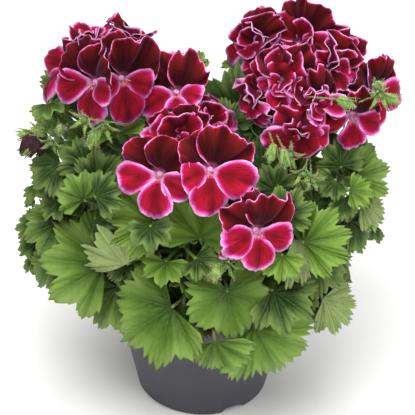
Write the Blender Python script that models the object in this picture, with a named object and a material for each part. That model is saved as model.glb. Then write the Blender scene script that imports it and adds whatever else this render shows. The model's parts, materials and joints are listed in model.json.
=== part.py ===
"""A regal pelargonium in its nursery pot, in metres, +Z up.

The origin is the middle of the pot's underside. The front is -Y and the right is +X.
The pot is turned, the compost fills it, and each leafy stem stands in a hole in the compost.
A stem is one body with its leaves, flower stalk, calyces and buds; each bloom's petals are another.
Leaves and buds are set one after another, and one that would cross what already stands is bent clear.
"""

import itertools
import math
import random

import bmesh
import bpy
from mathutils import Matrix, Quaternion, Vector
from mathutils.bvhtree import BVHTree

MM = 0.001
UP = Vector((0, 0, 1))

# Pot: a 13 cm round nursery pot
POT_HEIGHT = 100 * MM
POT_FOOT_RADIUS = 42 * MM
POT_NECK_RADIUS = 62 * MM
POT_NECK_HEIGHT = 92 * MM
POT_RIM_RADIUS = 65 * MM
POT_WALL = 1.5 * MM
POT_RECESS = 5.6 * MM
POT_FLOOR_TOP = 7.4 * MM
POT_PAD_RADIUS = 11 * MM
FOOT_RING_WIDTH = 6 * MM
POT_SEGMENTS = 32
DRAIN_HOLES = 6
DRAIN_RADIUS = 4 * MM
DRAIN_CIRCLE = 24 * MM
NOTCH_AZIMUTHS = (30, 210)
NOTCH_SIZE = (18 * MM, 14 * MM, 5 * MM)

# Compost and the holes that the stems stand in
GAP = 0.3 * MM
SOIL_TOP = 88 * MM
SOIL_SEGMENTS = 16
HOLE_BOTTOM = 60 * MM

# Stems
STEM_RADIUS = 3.6 * MM
STALK_RADIUS = 1.9 * MM
STEM_SIDES = 6
STEM_RINGS = 8
PEDICEL_RADIUS = 1.0 * MM
PETIOLE_RADIUS = 1.1 * MM
PETIOLE_STEPS = 3
KNOB_RADIUS = 3.2 * MM

# name: foot on the compost (x, y), height where the leaves end, head (x, y, z), all in mm
STEMS = {
    "left": ((-20, -6), 175, (-62, -8, 220)),
    "far_left": ((-30, 10), 160, (-90, -12, 186)),
    "centre": ((-8, -24), 150, (-14, -42, 184)),
    "middle": ((-4, 4), 165, (-17, -6, 208)),
    "right": ((18, -6), 170, (52, -2, 222)),
    "far_right": ((32, 10), 165, (86, 6, 205)),
    "front": ((14, -28), 130, (26, -64, 150)),
    "back_left": ((-22, 26), 150, (-54, 54, 178)),
    "back": ((2, 34), 135, (-16, 64, 158)),
    "back_right": ((24, 30), 155, (54, 56, 184)),
}

# Blooms: stem, throat (x, y, z) in mm, azimuth and elevation it faces, roll, petal length in mm
BLOOMS = {
    "left_1": ("left", (-66, -30, 237), -26, 22, 4, 25),
    "left_2": ("left", (-51, -28, 239), 22, 24, -4, 27),
    "left_3": ("left", (-68, 2, 242), -150, 76, 0, 25),
    "left_4": ("left", (-82, 0, 229), -72, 40, 0, 24),
    "left_5": ("left", (-48, 8, 240), 120, 68, 0, 24),
    "centre_1": ("middle", (-19, -24, 228), 2, 34, 4, 22),
    "centre_2": ("centre", (-27, -70, 200), -10, 26, -4, 26),
    "centre_3": ("centre", (-15, -46, 211), -14, 44, 10, 25),
    "centre_4": ("centre", (0, -28, 208), 40, 50, 0, 20),
    "centre_5": ("centre", (2, -72, 205), 10, 32, -8, 27),
    "front_1": ("front", (29, -85, 173), 24, 18, -6, 23),
    "right_1": ("right", (29, -7, 250), -38, 34, 6, 23),
    "right_2": ("right", (53, 4, 247), 12, 58, 0, 27),
    "right_3": ("right", (68, -14, 240), 38, 30, -10, 25),
    "right_4": ("right", (42, -32, 243), -12, 26, 4, 24),
    "right_5": ("right", (61, -38, 233), 20, 14, 0, 22),
    "right_6": ("right", (52, -38, 216), 4, -2, 0, 24),
    "right_7": ("right", (31, -26, 230), -45, 8, 0, 22),
    "right_8": ("right", (76, 6, 232), 85, 24, 0, 24),
    "right_9": ("right", (54, 20, 238), 160, 52, 0, 25),
    "far_right_1": ("far_right", (95, -6, 222), 42, 22, -6, 23),
    "far_right_2": ("far_right", (85, -22, 215), 8, 0, 0, 22),
    "back_left_1": ("back_left", (-66, 66, 190), -140, 34, 0, 26),
    "back_left_2": ("back_left", (-44, 74, 188), 170, 36, 0, 26),
    "back_1": ("back", (-20, 82, 168), 178, 32, 0, 27),
    "back_right_1": ("back_right", (48, 74, 196), 165, 38, 0, 27),
    "back_right_2": ("back_right", (68, 62, 192), 125, 30, 0, 26),
}
PETAL_THICKNESS = 0.8 * MM
THROAT_RADIUS = 2.2 * MM
BLOOM_CLEARANCE = 0.6 * MM

# Petals: angle round the throat from the bloom's up, length and width against the bloom's, opening
# angle, how far the margin stands forward, and where the claw ends. The first two are the upper pair
PETALS = (
    (-30, 1.0, 1.06, 60, 0.07, 0.20),
    (30, 1.0, 1.06, 71, -0.05, 0.20),
    (107, 0.94, 0.84, 67, 0, 0.06),
    (180, 0.94, 0.80, 72, 0, 0.06),
    (253, 0.94, 0.84, 67, 0, 0.06),
)
# Rows of points on a petal: how far out, and the places across it
PETAL_ROWS = ((0.5, (-1, 0, 1)), (1.0, (-1, -0.5, 0, 0.5, 1)))
THROAT_CORNER = 1.25
UPPER_CORNER = 1.9
CLAW_HALF_WIDTH = 1.3 * MM
PETAL_ARCH = 0.14
PETAL_REFLEX = 0.10
PETAL_TROUGH = 0.08
PETAL_ROUNDING = 0.24
UPPER_RUFFLE = 0.09
LOWER_RUFFLE = 0.05
BLOOM_DEPTH = 9 * MM
NEIGHBOUR_REACH = 80 * MM
PRESS_START = 0.65

# Buds: stem, end of the pedicel (x, y, z) in mm, azimuth and elevation it faces, open calyx or bud
BUDS = (
    ("left", (-72, -46, 219), -30, 0, "calyx"),
    ("left", (-60, -48, 215), 10, -10, "calyx"),
    ("left", (-66, -46, 213), -20, -50, "bud"),
    ("far_left", (-98, -22, 196), -60, 40, "bud"),
    ("far_left", (-104, -18, 194), -70, 5, "bud"),
    ("far_left", (-104, -20, 188), -60, -35, "bud"),
    ("far_left", (-94, -27, 191), -20, -20, "calyx"),
    ("far_left", (-88, -24, 199), 10, 50, "bud"),
    ("right", (74, -46, 238), 75, -20, "bud"),
    ("right", (38, -58, 214), -20, -50, "bud"),
    ("right", (44, -60, 212), 10, -60, "bud"),
    ("right", (48, -60, 208), 0, 10, "calyx"),
    ("right", (56, -62, 196), 0, 0, "calyx"),
    ("right", (63, -60, 190), 30, -10, "calyx"),
    ("far_right", (97, -32, 238), 10, 50, "bud"),
    ("far_right", (102, -29, 232), 80, -20, "bud"),
    ("far_right", (99, -34, 233), 0, 0, "calyx"),
    ("front", (15, -84, 168), -30, -60, "bud"),
    ("front", (8, -88, 150), -30, -60, "bud"),
    ("front", (13, -90, 149), 0, -10, "calyx"),
    ("centre", (12, -60, 196), 60, -40, "bud"),
    ("back", (-4, 80, 166), 160, 20, "bud"),
    ("back_left", (-68, 44, 196), -100, 40, "bud"),
    ("back_right", (70, 44, 200), 110, 40, "bud"),
)
BUD_LENGTH = 11 * MM
BUD_RADIUS = 3.0 * MM
SEPAL_REACH = 6.5 * MM
STAR_REACH = 9.5 * MM
CALYX_DEPTH = 4 * MM

# Leaves seen from the front: base (x, y, z), tip (x, y, z) in mm, azimuth and elevation it faces,
# spread in degrees, cup
LEAVES = {
    "front_mid": ((14, -80, 125), (20, -94, 100), 4, 42, 310, -0.08),
    "front_right_fan": ((30, -81, 101), (30, -88, 59), 4, 20, 165, -0.06),
    "front_left_big": ((-19, -80, 113), (-55, -88, 91), -16, 36, 220, -0.05),
    "front_left_fold": ((-12, -78, 114), (-15, -86, 84), -6, 24, 120, -0.05),
    "front_low": ((7, -76, 88), (2, -84, 62), -4, 18, 175, 0),
    "front_under": ((39, -74, 106), (49, -78, 92), 20, 30, 200, 0),
    "right_dark": ((41, -70, 120), (64, -84, 115), 16, 46, 210, -0.05),
    "young_bright": ((45, -84, 155), (44, -94, 142), 8, 36, 200, 0.15),
    "pale_back": ((-46, -66, 134), (-63, -72, 156), -14, 10, 170, -0.08),
    "left_fan": ((-61, -50, 122), (-101, -62, 134), -34, 36, 190, -0.04),
    "centre_big": ((-3, -70, 156), (2, -60, 192), 0, 34, 235, 0.08),
    "centre_left_bright": ((-31, -66, 164), (-56, -74, 174), -10, 40, 170, 0.08),
    "centre_left_low": ((-32, -72, 165), (-31, -86, 158), -4, 46, 230, 0.02),
    "left_mid": ((-88, -34, 142), (-112, -40, 136), -44, 40, 200, -0.05),
    "left_low": ((-88, -30, 115), (-108, -36, 99), -50, 34, 210, -0.05),
    "left_edge": ((-104, -10, 124), (-120, -10, 122), -50, 50, 160, 0),
    "left_up": ((-88, -24, 177), (-108, -28, 169), -44, 40, 220, 0),
    "left_cup": ((-64, -20, 185), (-95, -10, 206), -16, 34, 190, 0.2),
    "left_inner_a": ((-72, -34, 183), (-87, -34, 193), -20, 44, 210, 0.05),
    "left_inner_b": ((-65, -44, 176), (-52, -36, 191), 0, 36, 200, 0.05),
    "left_inner_c": ((-72, -48, 167), (-82, -48, 182), -20, 40, 200, 0.05),
    "left_inner_d": ((-64, -52, 172), (-48, -54, 181), 0, 44, 180, 0),
    "left_inner_e": ((-66, -54, 158), (-52, -60, 168), -10, 44, 180, 0),
    "left_head_leaf": ((-53, -34, 204), (-60, -30, 226), -6, 26, 190, 0.12),
    "top_mid": ((-10, -4, 234), (-12, 4, 243), 0, 40, 200, 0.1),
    "back_dark": ((20, 8, 190), (18, 24, 223), 4, 10, 240, 0.05),
    "inner_dark": ((10, -20, 202), (8, -10, 219), 0, 30, 200, 0),
    "centre_low": ((10, -72, 148), (-11, -82, 146), -6, 46, 200, 0),
    "centre_low_b": ((-5, -70, 142), (6, -80, 137), 4, 46, 220, 0),
    "young_low": ((-23, -76, 143), (-26, -88, 133), -4, 46, 220, 0.2),
    "left_front_back": ((-35, -70, 122), (-52, -74, 128), -16, 44, 200, 0),
    "right_fold": ((52, -66, 154), (66, -80, 128), 50, 30, 130, 0.12),
    "right_fan": ((58, -64, 151), (85, -66, 160), 22, 34, 170, 0.06),
    "right_low": ((65, -58, 138), (87, -64, 122), 34, 36, 220, -0.03),
    "right_olive": ((73, -50, 101), (92, -56, 88), 40, 30, 160, 0),
    "right_edge": ((88, -34, 147), (99, -40, 129), 50, 36, 200, 0),
    "right_top_edge": ((93, -26, 155), (110, -28, 145), 60, 30, 150, 0),
    "right_mid_low": ((82, -44, 170), (88, -50, 157), 34, 40, 200, 0),
    "right_serrate": ((87, -26, 173), (110, -22, 180), 36, 46, 200, 0.05),
    "right_back": ((90, -8, 176), (104, -2, 182), 40, 40, 200, 0),
    "right_lobed": ((80, -32, 185), (79, -24, 202), 24, 26, 220, 0.08),
    "right_inner": ((76, -42, 181), (68, -50, 175), 20, 46, 210, 0),
    "right_bright": ((85, -36, 171), (102, -38, 171), 40, 50, 180, 0),
    "right_centre_a": ((40, -56, 182), (33, -50, 196), 6, 36, 200, 0.05),
    "right_centre_b": ((45, -64, 169), (54, -62, 186), 10, 36, 200, 0.05),
    "right_centre_c": ((56, -66, 150), (57, -66, 171), 14, 40, 170, 0),
    "right_deep_a": ((64, -30, 154), (67, -20, 173), 10, 20, 200, 0),
    "right_deep_b": ((51, -24, 169), (54, -12, 188), 0, 20, 210, 0),
    "right_deep_c": ((33, -36, 185), (30, -24, 202), -6, 20, 200, 0),
    "left_deep": ((-46, -50, 124), (-56, -44, 139), -14, 20, 200, 0),
    "front_deep": ((-16, -62, 106), (-11, -58, 125), 0, 30, 200, 0),
}

# Leaves round the sides and back: rings on the canopy, from the rim up, then rings inside it
CANOPY_CENTRE = Vector((0, 0, 112 * MM))
CANOPY_RADII = Vector((88 * MM, 84 * MM, 84 * MM))
# share of the canopy's radii, elevation on it, leaves round it, slope of the blade, radius in mm
CANOPY_RINGS = (
    (1.0, -8, 11, -42, 36),
    (1.0, 14, 11, -18, 36),
    (1.0, 36, 9, 8, 32),
    (1.0, 58, 6, 34, 28),
    (0.66, 28, 9, 20, 26),
    (0.6, 60, 6, 30, 24),
)
FIRST_CANOPY_AZIMUTH = 12
CANOPY_APART = 24 * MM
BLADE_MIDDLE = 0.45
LEAF_LOBES = 5
LEAF_THICKNESS = 0.9 * MM
LEAF_CLEARANCE = 1.0 * MM
LARGE_LEAF = 31 * MM
LOBE_NOTCH = 0.19
SIDE_FALL = 0.30
PLEAT = 0.07
SEED = 41

# How far a leaf may be bent: moves in mm, tilts and turns in degrees, and sizes
SHIFTS = (0, 3, -3, 6, -6, 10, -10, 15, -15, 21)
TILTS = (0, 10, -10, 20, -20, 32)
TURNS = (0, 14, -14, 28, -28)
SCALES = (1, 0.9, 0.8, 0.68, 0.55)
MOST_TRIES = 1200
STALK_HEIGHTS_BELOW = (22, 8, 34, -8, -22, 48)
# The way that the leaves of the list slide, and the bows of a pedicel: to the side and up
VIEW = Vector((0, -0.84, 0.54))
BOWS = sorted(
    itertools.product((0, 0.6, -0.6, 1.2, -1.2, 2, -2), (0.2, -0.5, 0.9, -1.2, 1.6, -2)),
    key=lambda bow: abs(bow[0]) + abs(bow[1]),
)
BUD_SLIDES = (0, 3, -3, 6, 10, -6, 14)


def direction(azimuth, elevation):
    """The unit vector that faces this way: azimuth 0 is the front, and 90 the right."""
    a, e = math.radians(azimuth), math.radians(elevation)
    return Vector((math.sin(a) * math.cos(e), -math.cos(a) * math.cos(e), math.sin(e)))


def mm(values):
    """A point given in millimetres, in metres."""
    return Vector(values) * MM


def smooth(share):
    """A share from 0 to 1, eased at both ends."""
    share = min(1, max(0, share))
    return share * share * (3 - 2 * share)


def bezier(a, b, c, d, share):
    """The point at this share of a cubic curve."""
    rest = 1 - share
    return a * rest**3 + b * 3 * rest**2 * share + c * 3 * rest * share**2 + d * share**3


def tube(points, radii, sides):
    """A closed tube along the points: vertices and faces."""
    tangents = [
        (points[min(i + 1, len(points) - 1)] - points[max(i - 1, 0)]).normalized()
        for i in range(len(points))
    ]
    side = tangents[0].cross(Vector((0, 1, 0)))
    if side.length < 0.1:
        side = tangents[0].cross(Vector((1, 0, 0)))
    vertices, faces = [], []
    for i, (point, tangent) in enumerate(zip(points, tangents)):
        side = (side - tangent * side.dot(tangent)).normalized()
        other = tangent.cross(side)
        for k in range(sides):
            turn = 2 * math.pi * k / sides
            vertices.append(point + (side * math.cos(turn) + other * math.sin(turn)) * radii[i])
    for i in range(len(points) - 1):
        for k in range(sides):
            a, b = i * sides + k, i * sides + (k + 1) % sides
            faces.append((a, b, b + sides, a + sides))
    faces.append(tuple(range(sides - 1, -1, -1)))
    last = (len(points) - 1) * sides
    faces.append(tuple(range(last, last + sides)))
    return vertices, faces


def thicken(points, triangles, thickness):
    """A thin sheet of triangles made solid, split alike on both faces."""
    half = thickness / 2
    normals = [Vector() for _ in points]
    for a, b, c in triangles:
        face = (points[b] - points[a]).cross(points[c] - points[a])
        for corner in (a, b, c):
            normals[corner] += face
    normals = [normal.normalized() for normal in normals]
    vertices = [p + n * half for p, n in zip(points, normals)]
    vertices += [p - n * half for p, n in zip(points, normals)]
    count = len(points)
    faces = list(triangles)
    faces += [(a + count, c + count, b + count) for a, b, c in triangles]
    edges = {(t[i], t[(i + 1) % 3]) for t in triangles for i in range(3)}
    for a, b in sorted(edges):
        if (b, a) not in edges:
            faces.append((b, a, a + count))
            faces.append((b, a + count, b + count))
    return vertices, faces


class Leaf:
    """A blade: its base, the way it points and faces, its radius and its folds."""

    def __init__(self, base, axis, facing, radius, spread, cup, seed):
        draw = random.Random(seed)
        self.base = base
        self.axis = axis.normalized()
        self.normal = (facing - self.axis * facing.dot(self.axis)).normalized()
        self.slide = self.normal
        self.radius = radius
        self.spread = math.radians(spread)
        self.cup = cup
        self.wave = draw.uniform(0.05, 0.10)
        self.phase = draw.uniform(0, 2 * math.pi)
        self.droop = draw.uniform(0.25, 0.65)

    def bent(self, shift, tilt, turn, scale):
        """A copy moved, tilted, turned and made smaller."""
        copy = object.__new__(Leaf)
        copy.__dict__.update(self.__dict__)
        side = self.axis.cross(self.normal)
        swing = Quaternion(side, math.radians(tilt)) @ Quaternion(self.normal, math.radians(turn))
        copy.axis = swing @ self.axis
        copy.normal = swing @ self.normal
        copy.base = self.base + self.slide * shift * MM
        copy.radius = self.radius * scale
        return copy

    def point(self, across, out):
        """A point of the blade: across runs 0 to 1 over the spread, and out from base to margin."""
        angle = (across - 0.5) * self.spread
        lobe = across * LEAF_LOBES
        from_tip = abs(2 * (lobe % 1) - 1) if across < 1 else 1
        reach = 1 - LOBE_NOTCH * from_tip**1.5
        reach *= 1 - SIDE_FALL * (2 * across - 1) ** 2
        distance = out * reach * self.radius
        x, y = distance * math.sin(angle), distance * math.cos(angle)
        lift = self.cup * out**2 + PLEAT * out * (2 * from_tip - 1)
        lift += self.wave * out**2 * math.sin(2 * angle + self.phase)
        bend = self.droop / self.radius
        z = lift * self.radius
        if y > 0:
            z -= (1 - math.cos(bend * y)) / bend
            y = math.sin(bend * y) / bend
        side = self.axis.cross(self.normal)
        return self.base + side * x + self.axis * y + self.normal * z

    def sheet(self):
        """The blade as a fan of triangles round its base."""
        steps = LEAF_LOBES * (4 if self.radius > LARGE_LEAF else 2)
        points = [self.point(0.5, 0)]
        points += [self.point(i / steps, 1) for i in range(steps + 1)]
        return points, [(0, i + 2, i + 1) for i in range(steps)]

    def solid(self, thickness):
        """The blade as a closed thin solid, with no stalk."""
        return thicken(*self.sheet(), thickness)

    def stalked(self, stalk):
        """The blade and its three-sided stalk as one closed body; stalk runs from stem to blade."""
        points, fan = self.sheet()
        steps = len(fan)
        vertices, _ = thicken(points, fan, LEAF_THICKNESS)
        count = len(points)
        under = vertices[count]
        faces = list(fan)
        for i in range(1, steps + 1):
            faces += [(i, i + 1, i + count + 1), (i, i + count + 1, i + count)]
        edges = [vertices[count + 1] - under, self.axis * self.radius, vertices[count + steps + 1] - under]
        reach = PETIOLE_RADIUS * 1.25
        collar = [count, len(vertices), len(vertices) + 1]
        vertices[count] = under + edges[0].normalized() * reach
        vertices += [under + edges[1].normalized() * reach, under + edges[2].normalized() * reach]
        faces += strip(collar, [count + 1 + i for i in range(steps + 1)])
        faces += [(0, count + 1, 1), (0, collar[0], count + 1), (0, steps + 1, count + steps + 1)]
        faces += [(0, count + steps + 1, collar[2]), (0, collar[2], collar[0])]
        ring = collar
        middle = self.axis
        for i in range(len(stalk) - 2, -1, -1):
            tangent = (stalk[i + 1] - stalk[max(i - 1, 0)]).normalized()
            middle = (middle - tangent * middle.dot(tangent)).normalized()
            inner = list(range(len(vertices), len(vertices) + 3))
            for turn in (120, 0, -120):
                way = Quaternion(tangent, math.radians(turn)) @ middle
                vertices.append(stalk[i] + way * PETIOLE_RADIUS)
            for k in range(3):
                a, b = k, (k + 1) % 3
                faces += [(ring[a], inner[a], inner[b]), (ring[a], inner[b], ring[b])]
            ring = inner
        faces.append(tuple(ring))
        return vertices, faces


class Obstacles:
    """What already stands, as surfaces that a new piece must not cross."""

    def __init__(self):
        self.known = []

    def add(self, owner, vertices, faces):
        tree = BVHTree.FromPolygons(vertices, faces)
        low = Vector([min(v[k] for v in vertices) for k in range(3)])
        high = Vector([max(v[k] for v in vertices) for k in range(3)])
        self.known.append((owner, tree, low, high))

    def hit(self, vertices, faces, skip=()):
        """Whether this surface crosses anything that stands, leaving out the owners in skip."""
        tree = None
        low = [min(v[k] for v in vertices) for k in range(3)]
        high = [max(v[k] for v in vertices) for k in range(3)]
        for owner, other, its_low, its_high in self.known:
            if owner in skip or any(low[k] > its_high[k] or its_low[k] > high[k] for k in range(3)):
                continue
            tree = tree or BVHTree.FromPolygons(vertices, faces)
            if tree.overlap(other):
                return True
        return False


def pot_profile():
    """The pot's outline, from the middle of its underside round to the middle of its floor."""
    inner_foot = POT_FOOT_RADIUS - POT_WALL
    return (
        (0, 0),
        (POT_PAD_RADIUS, 0),
        (POT_PAD_RADIUS + 1.5 * MM, POT_RECESS),
        (POT_FOOT_RADIUS - FOOT_RING_WIDTH - 1 * MM, POT_RECESS),
        (POT_FOOT_RADIUS - FOOT_RING_WIDTH, 0),
        (POT_FOOT_RADIUS - 1.5 * MM, 0),
        (POT_FOOT_RADIUS, 1.5 * MM),
        (POT_NECK_RADIUS, POT_NECK_HEIGHT),
        (POT_RIM_RADIUS, POT_NECK_HEIGHT + 0.8 * MM),
        (POT_RIM_RADIUS + 0.3 * MM, POT_HEIGHT - 1 * MM),
        (POT_RIM_RADIUS - 0.5 * MM, POT_HEIGHT),
        (POT_NECK_RADIUS + 0.5 * MM, POT_HEIGHT),
        (POT_NECK_RADIUS - POT_WALL + 0.6 * MM, POT_HEIGHT - 1.5 * MM),
        (inner_foot, POT_FLOOR_TOP),
        (0, POT_FLOOR_TOP),
    )


def wall_radius(height):
    """The radius of the pot's inner wall at this height."""
    share = (height - POT_FLOOR_TOP) / (POT_HEIGHT - 1.5 * MM - POT_FLOOR_TOP)
    foot = POT_FOOT_RADIUS - POT_WALL
    top = POT_NECK_RADIUS - POT_WALL + 0.6 * MM
    return foot + (top - foot) * share


def turned(name, profile, segments, wobble=None):
    """A closed solid turned from a profile that starts and ends on the axis."""
    mesh = bmesh.new()
    rings = []
    for i, (radius, height) in enumerate(profile):
        if radius == 0:
            rings.append([mesh.verts.new((0, 0, height))])
            continue
        ring = []
        for k in range(segments):
            turn = 2 * math.pi * k / segments
            rise = wobble(i) if wobble else 0
            ring.append(
                mesh.verts.new((radius * math.cos(turn), radius * math.sin(turn), height + rise))
            )
        rings.append(ring)
    for low, high in zip(rings, rings[1:]):
        for k in range(segments):
            after = (k + 1) % segments
            corners = [low[k % len(low)], low[after % len(low)]]
            corners += [high[after % len(high)], high[k % len(high)]]
            mesh.faces.new(list(dict.fromkeys(corners)))
    bmesh.ops.recalc_face_normals(mesh, faces=mesh.faces)
    data = bpy.data.meshes.new(name)
    mesh.to_mesh(data)
    mesh.free()
    made = bpy.data.objects.new(name, data)
    bpy.context.scene.collection.objects.link(made)
    return made


def new_object(name, vertices, faces, collection=None):
    """A mesh object from plain lists."""
    data = bpy.data.meshes.new(name)
    data.from_pydata([tuple(v) for v in vertices], [], faces)
    mesh = bmesh.new()
    mesh.from_mesh(data)
    bmesh.ops.recalc_face_normals(mesh, faces=mesh.faces)
    mesh.to_mesh(data)
    mesh.free()
    made = bpy.data.objects.new(name, data)
    (collection or bpy.context.scene.collection).objects.link(made)
    return made


def keep_largest_shell(data):
    """Fills the hollows that joining has sealed and drops loose scraps."""
    mesh = bmesh.new()
    mesh.from_mesh(data)
    left = set(mesh.verts)
    shells = []
    while left:
        shell = [left.pop()]
        for vertex in shell:
            for edge in vertex.link_edges:
                other = edge.other_vert(vertex)
                if other in left:
                    left.remove(other)
                    shell.append(other)
        shells.append(shell)
    largest = max(shells, key=len)
    bmesh.ops.delete(mesh, geom=[v for shell in shells if shell is not largest for v in shell])
    mesh.to_mesh(data)
    mesh.free()


def boolean(target, parts, operation):
    """Joins the parts to the target, or cuts them from it, and removes them."""
    group = bpy.data.collections.new(target.name + "_parts")
    bpy.context.scene.collection.children.link(group)
    made = [new_object(f"{target.name}_{i}", v, f, group) for i, (v, f) in enumerate(parts)]
    modifier = target.modifiers.new("join", "BOOLEAN")
    modifier.operation = operation
    modifier.operand_type = "COLLECTION"
    modifier.collection = group
    modifier.solver = "MANIFOLD"
    bpy.context.view_layer.update()
    evaluated = target.evaluated_get(bpy.context.evaluated_depsgraph_get())
    joined = bpy.data.meshes.new_from_object(evaluated)
    keep_largest_shell(joined)
    target.modifiers.clear()
    target.data = joined
    for piece in made:
        bpy.data.objects.remove(piece)
    bpy.data.collections.remove(group)
    return target


def make_pot():
    """The turned pot, with drain holes in its floor and two notches in its foot ring."""
    pot = turned("pot", pot_profile(), POT_SEGMENTS)
    cutters = []
    for k in range(DRAIN_HOLES):
        turn = 2 * math.pi * (k + 0.5) / DRAIN_HOLES
        centre = Vector((math.cos(turn), math.sin(turn), 0)) * DRAIN_CIRCLE
        ends = [centre + UP * (POT_RECESS - 1 * MM), centre + UP * (POT_FLOOR_TOP + 1 * MM)]
        cutters.append(tube(ends, [DRAIN_RADIUS] * 2, 8))
    width, depth, height = NOTCH_SIZE
    for azimuth in NOTCH_AZIMUTHS:
        out = direction(azimuth, 0)
        side = out.cross(UP)
        middle = out * (POT_FOOT_RADIUS - FOOT_RING_WIDTH / 2)
        corners = [
            middle + side * sx * width / 2 + out * sy * depth / 2 + UP * z
            for z in (-2 * MM, height)
            for sx, sy in ((-1, -1), (1, -1), (1, 1), (-1, 1))
        ]
        box = [(0, 3, 2, 1), (4, 5, 6, 7), (0, 1, 5, 4), (1, 2, 6, 5), (2, 3, 7, 6), (3, 0, 4, 7)]
        cutters.append((corners, box))
    return boolean(pot, cutters, "DIFFERENCE")


def head_of(stem):
    """The top of the stem, where its flower stalks part."""
    return mm(STEMS[stem][2])


def stem_points(name):
    """The stem's centreline from the bottom of its hole to its head."""
    (x, y), _, head = STEMS[name]
    foot = Vector((x * MM, y * MM, HOLE_BOTTOM + GAP))
    leave = Vector((foot.x, foot.y, SOIL_TOP + 6 * MM))
    head = mm(head)
    rise = head.z - leave.z
    pull_low = leave + UP * rise * 0.45
    arrive = Vector((head.x - leave.x, head.y - leave.y, rise * 1.6)).normalized()
    pull_high = head - arrive * rise * 0.35
    steps = STEM_RINGS - 2
    return [foot] + [bezier(leave, pull_low, pull_high, head, i / steps) for i in range(steps + 1)]


def stem_at(name, height):
    """The point of the stem's centreline at this height."""
    points = stem_points(name)
    for a, b in zip(points, points[1:]):
        if b.z >= height:
            return a + (b - a) * ((height - a.z) / (b.z - a.z))
    return points[-1]


def stem_solid(name, grow=0.0):
    """The stem and its flower stalk: thick where the leaves are, slim above."""
    points = stem_points(name)
    leafy_top = STEMS[name][1] * MM
    radii = []
    for point in points:
        share = min(1, max(0, (point.z - SOIL_TOP) / (leafy_top - SOIL_TOP)))
        radii.append(STEM_RADIUS + (STALK_RADIUS - STEM_RADIUS) * share**2 + grow)
    return tube(points, radii, STEM_SIDES)


def ball(centre, radius):
    """A small round knob."""
    rings, sides = 3, 6
    profile = [(math.sin(math.pi * i / rings), -math.cos(math.pi * i / rings)) for i in range(1, rings)]
    vertices = [centre - UP * radius]
    for r, h in profile:
        for k in range(sides):
            turn = 2 * math.pi * k / sides
            vertices.append(centre + Vector((math.cos(turn) * r, math.sin(turn) * r, h)) * radius)
    vertices.append(centre + UP * radius)
    faces = [(0, 1 + (k + 1) % sides, 1 + k) for k in range(sides)]
    for i in range(len(profile) - 1):
        for k in range(sides):
            a, b = 1 + i * sides + k, 1 + i * sides + (k + 1) % sides
            faces.append((a, b, b + sides, a + sides))
    last = 1 + (len(profile) - 1) * sides
    faces += [(last + k, last + (k + 1) % sides, len(vertices) - 1) for k in range(sides)]
    return vertices, faces


def bloom_frame(facing, roll):
    """The bloom's right, up and forward axes."""
    forward = facing.normalized()
    right = UP.cross(forward) * -1
    if right.length < 0.05:
        right = Vector((1, 0, 0))
    right.normalize()
    up = right.cross(forward) * -1
    if up.z < 0:
        up = -up
    turn = Quaternion(forward, math.radians(roll))
    return turn @ right, turn @ up, forward


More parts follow.
